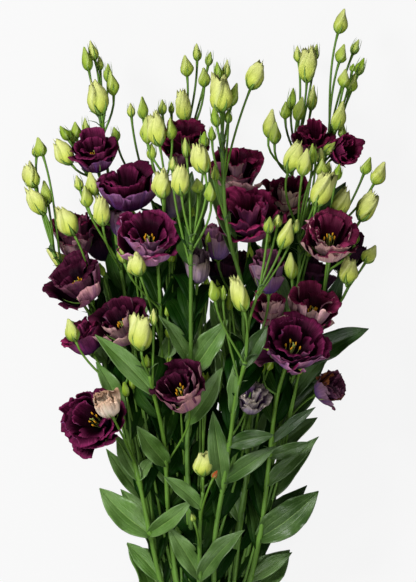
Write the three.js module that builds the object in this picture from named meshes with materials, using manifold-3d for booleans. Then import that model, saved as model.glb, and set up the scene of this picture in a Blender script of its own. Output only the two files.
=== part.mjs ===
// A tied bunch of cut lisianthus stems, lying on its back on a table.
// Millimetres, +Z up, +Y from the tie towards the flowers. The origin is the flat facet under the tie.
// Each leafy stem is one solid with its leaves, side shoots, flower stalks and buds.
// Each bloom is one solid of two ruffled layers of petals, and sits a hair above the end of its stalk.

import * as THREE from "three";
import Module from "manifold-3d";

const wasm = await Module();
wasm.setup();

// Driving dimensions
const GAP = 0.3; // between separate pieces
const STEM_FOOT = 3.0; // radius of a stem at its cut end
const STEM_HEAD = 1.8; // radius of a stem where it forks
const STEM_SIDES = 5;
const SHOOT = 1.5; // radius of a side shoot
const STALK = 1.15; // radius of a flower stalk
const SEAT = 2.6; // radius of the seat that carries a bloom
const FORK_STEP = 4.5; // between the places where neighbouring stalks leave a shoot, in Y
const CUT_LENGTH = 55; // from the middle of the tie to the cut ends
const TIE_WIDTH = 11;
const TIE_THICKNESS = 1.6;
const TIE_SIDES = 20;
const TIE_INNER = 16.2; // inner radius of the tie, at its flats
const PETAL_THICKNESS = 1.1;
const LEAF_THICKNESS = 1.3;

const OUTER_RING = TIE_INNER - GAP - STEM_FOOT; // stems that touch the tie
const INNER_RING = OUTER_RING - 2 * STEM_FOOT - GAP - 0.1; // stems inside them
const OUTER_STEMS = 10;
const TIE_CENTRE = TIE_INNER + TIE_THICKNESS; // height of the bundle's middle over the table

const UP = new THREE.Vector3(0, 0, 1);
const vec = (x, y, z) => new THREE.Vector3(x, y, z);
const radians = THREE.MathUtils.degToRad;

// Materials
const paint = (color, roughness) => new THREE.MeshStandardMaterial({ color, roughness, metalness: 0 });
const GREEN = paint("#5f8f46", 0.6);
const BAND = paint("#8a6a45", 0.7);
const PETALS = {
  plum: paint("#4f0d38", 0.6),
  mauve: paint("#7a4f6d", 0.65),
  cream: paint("#e2d2b0", 0.7),
  lilac: paint("#8c7396", 0.7),
};

// Where a stem passes the tie: ten stand in an outer ring, and four inside it
function slotPoint(slot) {
  const inner = slot >= OUTER_STEMS;
  const place = inner ? [0, 3, 5, 8][slot - OUTER_STEMS] : slot;
  const angle = (2 * Math.PI * place) / OUTER_STEMS;
  const radius = inner ? INNER_RING : OUTER_RING;
  return vec(radius * Math.sin(angle), 0, TIE_CENTRE + radius * Math.cos(angle));
}

// The direction that a bud or bloom points in: lean is from +Y towards +X, rise is up from the table
function pointing(lean, rise) {
  const flat = Math.cos(radians(rise));
  return vec(flat * Math.sin(radians(lean)), flat * Math.cos(radians(lean)), Math.sin(radians(rise)));
}

// A closed surface through rings of equal count, with a fan at each end.
// crossed says which quads are split along their other diagonal.
function loft(rings, first, last, crossed = () => false) {
  const count = rings[0].length;
  const points = [first, ...rings.flat(), last];
  const end = points.length - 1;
  const at = (ring, k) => 1 + ring * count + (k % count);
  const faces = [];
  for (let k = 0; k < count; k++) {
    faces.push(0, at(0, k + 1), at(0, k));
    faces.push(end, at(rings.length - 1, k), at(rings.length - 1, k + 1));
    for (let ring = 0; ring + 1 < rings.length; ring++) {
      const [a, b, c, d] = [at(ring, k), at(ring, k + 1), at(ring + 1, k + 1), at(ring + 1, k)];
      if (crossed(ring, k)) faces.push(a, b, d, b, c, d);
      else faces.push(a, b, c, a, c, d);
    }
  }
  const geometry = new THREE.BufferGeometry().setFromPoints(points);
  geometry.setIndex(faces);
  return solid(geometry);
}

function solid(geometry) {
  const vertProperties = geometry.attributes.position.array;
  const triVerts = new Uint32Array(geometry.index.array);
  return new wasm.Manifold(new wasm.Mesh({ numProp: 3, vertProperties, triVerts }));
}

// Directions along and across a path, carried along it without twist
function framesAlong(points, across) {
  let side = across;
  return points.map((point, i) => {
    const before = points[Math.max(i - 1, 0)];
    const after = points[Math.min(i + 1, points.length - 1)];
    const along = after.clone().sub(before).normalize();
    side = side.clone().addScaledVector(along, -side.dot(along)).normalize();
    return { point, along, side, out: along.clone().cross(side) };
  });
}

function circle({ point, side, out }, radius, sides) {
  return Array.from({ length: sides }, (_, k) => {
    const angle = (2 * Math.PI * k) / sides;
    return point
      .clone()
      .addScaledVector(side, radius * Math.cos(angle))
      .addScaledVector(out, radius * Math.sin(angle));
  });
}

function rod(points, radii, sides, across = UP) {
  const frames = framesAlong(points, across);
  const rings = frames.map((frame, i) => circle(frame, radii[i], sides));
  return loft(rings, points[0], points.at(-1));
}

// The point of a path at a given Y, with the path's direction there
function pointAtY(path, y) {
  let i = 0;
  while (i + 2 < path.length && path[i + 1].y < y) i++;
  const share = THREE.MathUtils.clamp((y - path[i].y) / (path[i + 1].y - path[i].y), 0, 1);
  return {
    point: path[i].clone().lerp(path[i + 1], share),
    along: path[i + 1].clone().sub(path[i]).normalize(),
  };
}

// A stalk's path: it leaves the shoot along the shoot and reaches its bud or bloom along that one's axis
function stalkPath(start, end, direction) {
  const length = start.point.distanceTo(end);
  const curve = new THREE.CubicBezierCurve3(
    start.point,
    start.point.clone().addScaledVector(start.along, 0.12 * length),
    end.clone().addScaledVector(direction, -0.4 * length),
    end,
  );
  return curve.getPoints(length > 85 ? 3 : length > 42 ? 2 : 1);
}

// A bud on its stalk: one body that swells from the stalk to the belly and closes to a point
function bud(start, base, length, width, direction) {
  const path = stalkPath(start, base, direction);
  const belly = base.clone().addScaledVector(direction, 0.36 * length);
  const shoulder = base.clone().addScaledVector(direction, 0.74 * length);
  const tip = base.clone().addScaledVector(direction, length);
  const radii = [...path.map(() => STALK), 0.5 * width, 0.3 * width];
  const frames = framesAlong([...path, belly, shoulder, tip], UP).slice(0, -1);
  const sides = width > 15 ? 5 : 4;
  const rings = frames.map((frame, i) => circle(frame, radii[i], sides));
  return loft(rings, path[0], tip);
}

// The stalk of a bloom, which widens at its end to the seat
function bloomStalk(start, base, direction) {
  const neck = base.clone().addScaledVector(direction, -5);
  const path = [...stalkPath(start, neck, direction), base];
  const radii = [...path.slice(0, -1).map(() => STALK + 0.1), SEAT];
  return rod(path, radii, 4);
}

// A leaf: a thin blade with a sharp edge, folded a little along its midrib
const LEAF_STATIONS = [0, 0.22, 0.5, 0.8];
const LEAF_OUTLINE = [0.3, 0.86, 1, 0.54];

function leaf(base, tip, width, arch, roll) {
  const middle = base.clone().lerp(tip, 0.5).addScaledVector(UP, arch);
  const spine = new THREE.QuadraticBezierCurve3(base, middle, tip);
  const fold = 0.22;
  const rings = LEAF_STATIONS.map((station, i) => {
    const point = spine.getPoint(station);
    const along = spine.getTangent(station);
    const face = UP.clone().addScaledVector(along, -UP.dot(along)).normalize().applyAxisAngle(along, radians(roll));
    const across = face.clone().cross(along);
    const half = 0.5 * width * LEAF_OUTLINE[i];
    const edge = (sign) =>
      point
        .clone()
        .addScaledVector(across, sign * half)
        .addScaledVector(face, fold * half);
    const rib = (sign) => point.clone().addScaledVector(face, 0.5 * sign * LEAF_THICKNESS);
    return [edge(1), rib(1), edge(-1), rib(-1)];
  });
  return loft(rings, base, tip, (ring, k) => k % 2 === 1);
}

// A bloom: an outer cup and an inner cup of joined petals with lobed, ruffled rims.
// The numbers are shares of the rim's radius and of the depth, from the seat up the outside,
// over the outer rim, down between the cups, over the inner rim and down to the throat.
const CUPS = {
  open: [
    [0.62, 0.32, 0],
    [1, 1, 1],
    [0.42, 0.4, 0],
    [0.62, 1, 2],
    [0.16, 0.4, 0],
  ],
  cup: [
    [0.68, 0.32, 0],
    [1, 0.95, 1],
    [0.5, 0.52, 0],
    [0.58, 1, 2],
    [0.2, 0.6, 0],
  ],
  shut: [
    [0.8, 0.34, 0],
    [0.86, 0.8, 1],
    [0.4, 1, 2],
    [0.2, 0.86, 0],
  ],
};
const VERTICES_PER_PETAL = { open: 3, cup: 3, shut: 2 };
const PETAL_COUNT = 5;
const NOTCH = 0.26; // how deep the rim dips between two petals, as a share of the depth
const RUFFLE = 0.06; // how far the rim waves in and out, as a share of its radius

function bloom(base, direction, span, depth, kind) {
  const perPetal = VERTICES_PER_PETAL[kind];
  const across = Math.abs(direction.z) > 0.9 ? vec(1, 0, 0) : UP;
  const side = across.clone().addScaledVector(direction, -across.dot(direction)).normalize();
  const out = direction.clone().cross(side);
  const count = PETAL_COUNT * perPetal;
  const place = (k, radius, height) => {
    const angle = (2 * Math.PI * k) / count;
    return base
      .clone()
      .addScaledVector(direction, height)
      .addScaledVector(side, radius * Math.cos(angle))
      .addScaledVector(out, radius * Math.sin(angle));
  };
  const numbers = Array.from({ length: count }, (_, k) => k);
  const rim = 0.5 * span;
  const shape = CUPS[kind];
  const rings = shape.map(([share, rise, layer]) =>
    numbers.map((k) => {
      const shift = layer === 2 ? 0.5 : 0;
      const along = (k / perPetal + shift) % 1;
      const dip = layer ? NOTCH * Math.abs(2 * along - 1) ** 3 : 0;
      const wave = layer ? RUFFLE * Math.cos(4 * Math.PI * along + layer) : 0;
      return place(k, rim * (share + wave) - (layer ? 0.2 * dip * rim : 0), depth * (rise - dip));
    }),
  );
  const foot = numbers.map((k) => place(k, SEAT, 0));
  const inside = base.clone().addScaledVector(direction, depth * shape.at(-1)[1] - PETAL_THICKNESS);
  const falling = shape.map(([, rise], i) => i > 0 && rise < shape[i - 1][1]);
  return loft([foot, ...rings], base, inside, (ring) => falling[ring]);
}

// The hand-placed bunch. Points are [x, y, z].
// A bud is [x, y, z of its base, length, width, lean, where its stalk leaves the shoot in Y].
// A leaf is [Y where it leaves the stem, x, y, z of its tip, width, arch, roll].
// A bloom is { at: its base, lean, rise, span, depth, kind, skin, from: where its stalk leaves in Y }.
const STEMS = {
  front_low: {
    slot: 0,
    path: [[-6, 110, 72], [-5, 182, 112], [-3, 200, 121]],
    buds: [[-3, 216, 131, 23, 17, -2]],
    leaves: [[184, -42, 216, 130, 13, 6, 10], [112, -38, 164, 102, 18, 4, 15], [112, 37, 162, 108, 17, 4, -15]],
  },
  center_right: {
    slot: 1,
    path: [[8, 110, 66], [9, 152, 92], [18, 211, 122], [25, 260, 150], [29, 292, 166], [39, 331, 186]],
    buds: [[38, 381, 204, 34, 17, -15], [9, 391, 204, 20, 11, -9]],
    leaves: [
      [205, 7, 282, 152, 17, 8, 0],
      [211, 70, 247, 150, 15, 6, -10],
      [280, 29, 332, 178, 10, 4, -20],
      [326, 61, 367, 192, 15, 4, -10],
      [248, 68, 258, 160, 15, 4, 0],
    ],
    blooms: {
      violet_side: { at: [62, 398, 178], lean: -3, rise: 8, span: 34, depth: 40, kind: "cup", skin: "mauve" },
      beige_side: {
        at: [64, 366, 150], lean: -5, rise: 12, span: 34, depth: 30, kind: "cup", skin: "lilac", from: 290,
      },
    },
    shoots: [
      {
        from: 331,
        path: [[43, 373, 198], [52, 401, 204]],
        buds: [[61, 458, 206, 16, 10, 7], [74, 443, 206, 30, 15, 20], [86, 458, 203, 14, 9, 15]],
      },
    ],
  },
  center_left: {
    slot: 9,
    path: [[-12, 110, 60], [-16, 180, 90], [-19, 240, 112], [-16, 300, 128], [-15, 373, 170], [-15, 451, 200]],
    buds: [
      [-24, 495, 206, 29, 18, -4],
      [-1, 517, 204, 29, 18, -16],
      [-8, 498, 194, 14, 12, -4],
      [5, 489, 203, 19, 11, -6],
      [-2, 543, 192, 15, 10, 0],
    ],
    leaves: [
      [327, -46, 377, 172, 13, 4, 20],
      [318, 21, 372, 165, 22, 4, -20],
      [270, 16, 325, 150, 18, 4, -10],
    ],
    blooms: {
      wilted_closed: {
        at: [-9, 408, 158], lean: 0, rise: 12, span: 30, depth: 34, kind: "shut", skin: "lilac", from: 360,
      },
    },
  },
  left_front: {
    slot: 8,
    path: [[-30, 110, 56], [-38, 180, 86], [-42, 250, 124], [-56, 317, 172]],
    buds: [[-64, 342, 190, 34, 21, 0]],
    leaves: [[300, -109, 358, 184, 17, 8, 10], [228, -69, 267, 150, 17, 6, 10]],
    blooms: {
      front_left_open: {
        at: [-20, 290, 152], lean: -25, rise: 48, span: 50, depth: 34, kind: "open", skin: "plum", from: 225,
      },
    },
  },
  low_left: {
    slot: 7,
    path: [[-46, 110, 62], [-56, 156, 88], [-67, 210, 108], [-80, 262, 118], [-88, 300, 118]],
    buds: [[-130, 351, 136, 23, 14, -20]],
    leaves: [
      [280, -110, 330, 128, 15, 4, 10],
      [212, -90, 257, 104, 14, 2, 10],
      [156, -107, 203, 92, 24, 6, 10],
      [158, -14, 191, 118, 15, 14, 0],
      [110, -80, 146, 66, 16, 4, 10],
      [212, -53, 236, 110, 10, 2, -10],
    ],
    blooms: {
      far_left_open: {
        at: [-104, 262, 124], lean: -55, rise: 55, span: 66, depth: 34, kind: "open", skin: "plum", from: 215,
      },
      wilted_cream: {
        at: [-92, 276, 172], lean: -28, rise: 20, span: 28, depth: 28, kind: "shut", skin: "cream", from: 225,
      },
      left_low: { at: [-117, 338, 100], lean: -30, rise: 10, span: 40, depth: 32, kind: "cup", skin: "plum" },
      left_red: { at: [-76, 352, 128], lean: -25, rise: 32, span: 56, depth: 36, kind: "open", skin: "plum" },
    },
  },
  right_front: {
    slot: 2,
    path: [[45, 110, 52], [54, 152, 76], [64, 236, 110], [72, 300, 132], [80, 328, 144]],
    buds: [[86, 413, 124, 26, 13, -4]],
    leaves: [
      [110, 87, 137, 62, 14, 4, -10],
      [152, 113, 200, 92, 28, 8, -10],
      [236, 104, 250, 122, 12, 4, 0],
      [207, 113, 255, 108, 14, 4, -10],
      [250, 109, 285, 128, 10, 2, -10],
    ],
    blooms: {
      main_front: { at: [88, 338, 150], lean: 15, rise: 62, span: 66, depth: 34, kind: "open", skin: "plum" },
      right_low: {
        at: [112, 290, 112], lean: 65, rise: 12, span: 40, depth: 32, kind: "cup", skin: "mauve", from: 236,
      },
      right_pink: { at: [103, 364, 122], lean: 10, rise: 30, span: 52, depth: 40, kind: "open", skin: "plum" },
    },
  },
  right: {
    slot: 3,
    path: [[36, 110, 32], [52, 180, 56], [70, 250, 80], [90, 320, 96], [112, 370, 106]],
    leaves: [
      [330, 162, 364, 124, 22, 6, -10],
      [285, 132, 350, 104, 12, 4, -10],
      [160, 102, 205, 66, 18, 4, -10],
    ],
    blooms: {
      right_open: { at: [122, 444, 140], lean: 5, rise: 62, span: 54, depth: 32, kind: "open", skin: "plum" },
    },
    shoots: [
      {
        from: 370,
        path: [[133, 388, 112], [144, 408, 118]],
        buds: [[140, 408, 132, 26, 17, 10], [159, 429, 122, 20, 14, 30]],
      },
      {
        from: 370,
        path: [[122, 420, 112], [128, 462, 110]],
        buds: [
          [129, 475, 132, 30, 16, 22],
          [154, 471, 116, 31, 18, 27, 430],
          [168, 508, 112, 24, 15, 28],
          [158, 518, 104, 18, 11, 20],
          [109, 485, 152, 35, 19, 20],
        ],
      },
    ],
  },
  right_upper: {
    slot: 11,
    path: [[20, 110, 28], [36, 180, 44], [54, 250, 60], [74, 330, 72], [93, 409, 84], [93, 461, 94]],
    buds: [
      [82, 520, 122, 32, 17, 20],
      [96, 516, 130, 27, 15, 9],
      [106, 528, 118, 20, 10, 3],
      [115, 515, 124, 18, 12, 6],
    ],
    leaves: [[200, 30, 255, 58, 16, 2, 10], [262, 84, 318, 74, 16, 2, -10], [370, 66, 428, 82, 18, 2, 10]],
    blooms: {
      top_right: { at: [109, 535, 80], lean: -5, rise: 15, span: 40, depth: 34, kind: "cup", skin: "plum" },
      far_right: { at: [127, 534, 92], lean: 60, rise: 10, span: 32, depth: 34, kind: "cup", skin: "plum" },
    },
    shoots: [
      {
        from: 461,
        path: [[112, 500, 60], [125, 560, 58]],
        buds: [
          [130, 563, 84, 29, 14, 16],
          [133, 661, 62, 25, 14, 16],
          [134, 631, 72, 19, 12, 18],
          [148, 640, 58, 16, 9, 22],
          [153, 619, 64, 18, 10, 20],
          [138, 606, 80, 18, 13, 10],
          [145, 602, 70, 19, 12, 15],
        ],
      },
    ],
  },
  back_right: {
    slot: 4,
    path: [[28, 110, 10], [48, 180, 16], [66, 250, 22], [78, 330, 30], [84, 400, 40], [84, 450, 50]],
    leaves: [[150, 72, 205, 24, 18, 2, -10], [222, 40, 275, 26, 16, 2, 10], [290, 106, 345, 38, 18, 2, -10]],
    blooms: {
      behind_right: { at: [82, 474, 56], lean: 0, rise: 15, span: 50, depth: 38, kind: "cup", skin: "plum" },
      rest_right: {
        at: [142, 420, 23], lean: 15, rise: 0, span: 50, depth: 40, kind: "cup", skin: "plum", from: 350,
      },
      under_right: {
        at: [102, 394, 46], lean: 15, rise: 5, span: 44, depth: 38, kind: "cup", skin: "plum", from: 330,
      },
    },
    shoots: [
      {
        from: 450,
        path: [[86, 500, 26], [90, 545, 34]],
        buds: [
          [86, 585, 46, 21, 9, 5],
          [80, 575, 56, 17, 11, 0],
          [92, 573, 60, 24, 12, 12],
          [106, 584, 50, 25, 10, 7],
          [102, 612, 44, 35, 17, 3],
          [110, 635, 36, 16, 8, 7],
          [63, 556, 62, 28, 15, 10],
          [69, 549, 76, 22, 12, 3],
        ],
      },
    ],
  },
  center: {
    slot: 10,
    path: [[29, 112, 44], [33, 160, 66], [41, 224, 90], [41, 300, 104], [38, 360, 118], [35, 410, 138],
      [24, 450, 158], [19, 480, 169], [17, 517, 172], [16, 547, 168]],
    buds: [
      [15, 578, 164, 36, 21, -2],
      [13, 612, 148, 17, 9, -8],
      [20, 613, 142, 18, 8, 4],
      [25, 585, 150, 23, 11, 13],
      [11, 564, 176, 19, 10, -12],
      [44, 602, 138, 29, 17, 22, 500],
      [10, 510, 176, 15, 8, -6, 466],
    ],
    leaves: [[170, 14, 228, 86, 16, 2, 10], [232, 62, 290, 98, 16, 2, -10]],
    blooms: {
      lavender_small: {
        at: [44, 277, 128], lean: 5, rise: 15, span: 28, depth: 30, kind: "shut", skin: "lilac", from: 215,
      },
      magenta_cup: {
        at: [44, 452, 128], lean: -3, rise: 28, span: 58, depth: 40, kind: "open", skin: "plum", from: 400,
      },
      center_cup: {
        at: [33, 503, 112], lean: 0, rise: 20, span: 58, depth: 40, kind: "cup", skin: "plum", from: 420,
      },
      center_side: {
        at: [12, 432, 112], lean: 0, rise: 10, span: 34, depth: 34, kind: "cup", skin: "mauve", from: 380,
      },
    },
  },
  left_center: {
    slot: 13,
    path: [[-22, 110, 48], [-33, 180, 72], [-40, 250, 94], [-44, 320, 112], [-46, 390, 126], [-48, 430, 130]],
    buds: [[-43, 493, 150, 28, 17, -6], [-65, 416, 186, 22, 17, -20, 340], [-81, 429, 160, 20, 11, -15, 380]],
    leaves: [[200, -8, 255, 88, 16, 2, -10], [205, -64, 255, 92, 16, 2, 10], [330, -14, 385, 118, 16, 2, -10]],
    blooms: {
      front_center_open: { at: [-56, 446, 146], lean: -5, rise: 62, span: 60, depth: 32, kind: "open", skin: "plum" },
      left_cup: { at: [-77, 484, 118], lean: -5, rise: 30, span: 56, depth: 38, kind: "open", skin: "plum" },
      brown_closed: { at: [-86, 455, 107], lean: -2, rise: 10, span: 22, depth: 28, kind: "shut", skin: "mauve" },
    },
    shoots: [
      {
        from: 430,
        path: [[-42, 480, 134], [-41, 515, 140]],
        buds: [[-58, 548, 142, 26, 13, -5], [-46, 545, 154, 33, 17, -12], [-34, 552, 150, 21, 11, -6]],
      },
    ],
  },
  back_left: {
    slot: 5,
    path: [[-8, 110, 10], [-14, 180, 18], [-20, 250, 28], [-26, 330, 38], [-30, 410, 48], [-34, 470, 60]],
    buds: [
      [-63, 574, 84, 22, 11, -5],
      [-90, 552, 78, 14, 9, -10],
    ],
    leaves: [[130, -34, 185, 20, 18, 2, 10], [190, 8, 245, 34, 16, 2, -10], [262, -50, 315, 42, 16, 2, 10],
      [352, -52, 402, 52, 14, 2, 10]],
    blooms: {
      center_ruffled: { at: [-21, 526, 82], lean: 0, rise: 20, span: 46, depth: 44, kind: "cup", skin: "plum" },
      grey_side: {
        at: [-34, 474, 96], lean: 0, rise: 10, span: 26, depth: 38, kind: "shut", skin: "lilac", from: 410,
      },
      under_left: {
        at: [-66, 388, 42], lean: -12, rise: 5, span: 46, depth: 38, kind: "cup", skin: "plum", from: 320,
      },
      under_center: {
        at: [20, 404, 32], lean: 8, rise: 5, span: 46, depth: 38, kind: "cup", skin: "plum", from: 330,
      },
    },
    shoots: [
      {
        from: 470,
        path: [[-28, 520, 44], [-22, 555, 44]],
        buds: [
          [-21, 572, 58, 31, 16, -9],
          [-19, 618, 54, 21, 13, -5],
          [-9, 634, 48, 17, 9, 0],
          [-2, 607, 60, 19, 12, 0],
          [-44, 579, 62, 15, 9, 0],
        ],
      },
    ],
  },
  left_upper: {
    slot: 12,
    path: [[-26, 110, 30], [-42, 180, 48], [-56, 250, 62], [-68, 320, 74], [-82, 400, 80], [-93, 470, 84]],
    buds: [[-111, 497, 112, 23, 14, -15], [-118, 485, 122, 21, 13, -11],
      [-103, 466, 126, 29, 17, -6, 420]],
    leaves: [[190, -24, 245, 54, 16, 2, -10], [260, -86, 312, 74, 16, 2, 10], [352, -56, 405, 82, 14, 2, -10]],
    blooms: {
      upper_left_cup: { at: [-108, 522, 98], lean: -10, rise: 32, span: 46, depth: 34, kind: "open", skin: "plum" },
    },
    shoots: [
      {
        from: 470,
        path: [[-100, 530, 74], [-106, 570, 70]],
        buds: [
          [-112, 634, 62, 20, 10, -15],
          [-118, 623, 70, 24, 11, -10],
          [-99, 612, 66, 18, 9, 0],
          [-93, 598, 76, 24, 12, -7],
          [-105, 578, 92, 34, 20, -15],
        ],
      },
      {
        from: 470,
        path: [[-112, 505, 76], [-122, 525, 76]],
        buds: [[-130, 555, 78, 16, 11, -4], [-138, 553, 86, 16, 10, -30],
          [-135, 528, 102, 28, 17, -35]],
      },
    ],
  },
  far_left: {
    slot: 6,
    path: [[-38, 110, 22], [-60, 180, 34], [-80, 250, 44], [-100, 320, 54], [-112, 370, 62]],
    buds: [[-138, 422, 68, 30, 15, -45], [-132, 457, 112, 31, 19, -30]],
    leaves: [[190, -101, 242, 60, 14, 4, 10], [150, -86, 200, 42, 18, 2, 10], [250, -60, 305, 52, 16, 2, -10],
      [330, -138, 372, 66, 16, 2, 10]],
    blooms: {
      left_big: { at: [-123, 386, 98], lean: -35, rise: 25, span: 56, depth: 42, kind: "open", skin: "plum" },
      rest_left: {
        at: [-98, 432, 22], lean: -15, rise: 0, span: 48, depth: 40, kind: "cup", skin: "plum", from: 310,
      },
      left_mauve: { at: [-130, 434, 48], lean: -8, rise: 20, span: 46, depth: 44, kind: "cup", skin: "plum" },
    },
    shoots: [
      {
        from: 370,
        path: [[-132, 400, 66], [-154, 440, 88]],
        buds: [[-162, 478, 86, 31, 16, -33], [-159, 488, 74, 24, 12, -12], [-172, 505, 80, 25, 16, -21],
          [-171, 536, 70, 14, 10, 5], [-164, 537, 78, 19, 12, -18]],
      },
    ],
  },
};

const toVectors = (points) => points.map((point) => vec(...point));

// Heads with no place of their own leave one below the other from the top of the shoot
function addHeads(solids, path, { buds = [], blooms = {} }) {
  let top = path.at(-1).y - 1;
  const next = () => {
    top -= FORK_STEP;
    return top + FORK_STEP;
  };
  for (const [x, y, z, length, width, lean, from = next()] of buds)
    solids.push(bud(pointAtY(path, from), vec(x, y, z), length, width, pointing(lean, 4)));
  for (const { at, lean, rise, from = next() } of Object.values(blooms))
    solids.push(bloomStalk(pointAtY(path, from), vec(...at), pointing(lean, rise)));
}

function leafyStem({ slot, path, leaves = [], shoots = [], ...heads }) {
  const held = slotPoint(slot);
  const outward = held.clone().sub(vec(0, 0, TIE_CENTRE)).normalize();
  const foot = held.clone().addScaledVector(outward, 0.6).setY(-CUT_LENGTH + 7 * Math.sin(3 * slot));
  const throat = held.clone().setY(TIE_WIDTH);
  const line = [foot, held.clone().setY(-TIE_WIDTH), throat, ...toVectors(path)];
  const radii = line.map((point) => THREE.MathUtils.mapLinear(point.y, 40, line.at(-1).y, STEM_FOOT, STEM_HEAD));
  const solids = [rod(line, radii.map((radius) => Math.min(radius, STEM_FOOT)), STEM_SIDES, outward)];
  for (const [from, x, y, z, width, arch, roll] of leaves)
    solids.push(leaf(pointAtY(line, from).point, vec(x, y, z), width, arch, roll));
  addHeads(solids, line, heads);
  for (const shoot of shoots) {
    const branch = [pointAtY(line, shoot.from).point, ...toVectors(shoot.path)];
    solids.push(rod(branch, branch.map(() => SHOOT), 5));
    addHeads(solids, branch, shoot);
  }
  return wasm.Manifold.union(solids);
}

function tieBand() {
  const outer = (TIE_INNER + TIE_THICKNESS) / Math.cos(Math.PI / TIE_SIDES);
  const inner = TIE_INNER / Math.cos(Math.PI / TIE_SIDES);
  const half = TIE_WIDTH / 2;
  const profile = [[inner, -half], [outer, -half], [outer, half], [inner, half], [inner, -half]];
  const band = new THREE.LatheGeometry(profile.map(([r, y]) => new THREE.Vector2(r, y)), TIE_SIDES, Math.PI / TIE_SIDES);
  return band.translate(0, 0, TIE_CENTRE);
}

function meshOf(name, made, material) {
  const { numProp, vertProperties, triVerts } = made.getMesh();
  const geometry = new THREE.BufferGeometry();
  geometry.setAttribute("position", new THREE.BufferAttribute(vertProperties, numProp));
  geometry.setIndex(new THREE.BufferAttribute(triVerts, 1));
  const mesh = new THREE.Mesh(geometry, material);
  mesh.name = name;
  return mesh;
}

const bunch = new THREE.Group();
const tie = new THREE.Mesh(tieBand(), BAND);
tie.name = "tie";
bunch.add(tie);

for (const [name, stem] of Object.entries(STEMS)) {
  bunch.add(meshOf("stem_" + name, leafyStem(stem), GREEN));
  for (const [bloomName, row] of Object.entries(stem.blooms ?? {})) {
    const direction = pointing(row.lean, row.rise);
    const base = vec(...row.at).addScaledVector(direction, GAP);
    const flower = bloom(base, direction, row.span, row.depth, row.kind);
    const resting = flower.trimByPlane([0, 0, 1], 0);
    bunch.add(meshOf("bloom_" + bloomName, resting, PETALS[row.skin]));
  }
}

export default bunch;
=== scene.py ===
"""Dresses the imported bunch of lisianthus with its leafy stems, buds, ruffled blooms and tie, and lights it.

The file is laid out as an add-on and is run as a script. The layout rows are in millimetres and repeat the
part's own, with +Y from the tie to the flowers and +Z up from the table that the bunch lies on.
"""

import math
import random

import bpy
import numpy as np
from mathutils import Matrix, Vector


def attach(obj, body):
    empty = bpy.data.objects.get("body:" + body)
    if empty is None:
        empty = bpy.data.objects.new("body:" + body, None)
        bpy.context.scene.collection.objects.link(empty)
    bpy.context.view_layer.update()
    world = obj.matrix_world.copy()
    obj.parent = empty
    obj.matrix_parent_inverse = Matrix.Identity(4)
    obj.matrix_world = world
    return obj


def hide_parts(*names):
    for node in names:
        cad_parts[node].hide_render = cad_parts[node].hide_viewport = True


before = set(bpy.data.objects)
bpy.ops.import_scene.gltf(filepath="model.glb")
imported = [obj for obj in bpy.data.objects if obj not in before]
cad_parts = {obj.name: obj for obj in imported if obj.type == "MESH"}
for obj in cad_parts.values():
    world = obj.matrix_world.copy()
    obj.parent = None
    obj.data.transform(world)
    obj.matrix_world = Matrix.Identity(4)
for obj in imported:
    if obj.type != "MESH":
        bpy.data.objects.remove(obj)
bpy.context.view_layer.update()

bl_info = {
    "name": "Lisianthus bunch",
    "version": (1, 0, 0),
    "blender": (4, 5, 0),
    "location": "3D View > Sidebar > Bunch",
    "description": "Grows and paints a tied bunch of cut lisianthus round its packed frame",
    "category": "Object",
}

MM = 0.001
UP = np.array((0.0, 0.0, 1.0))

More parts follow.
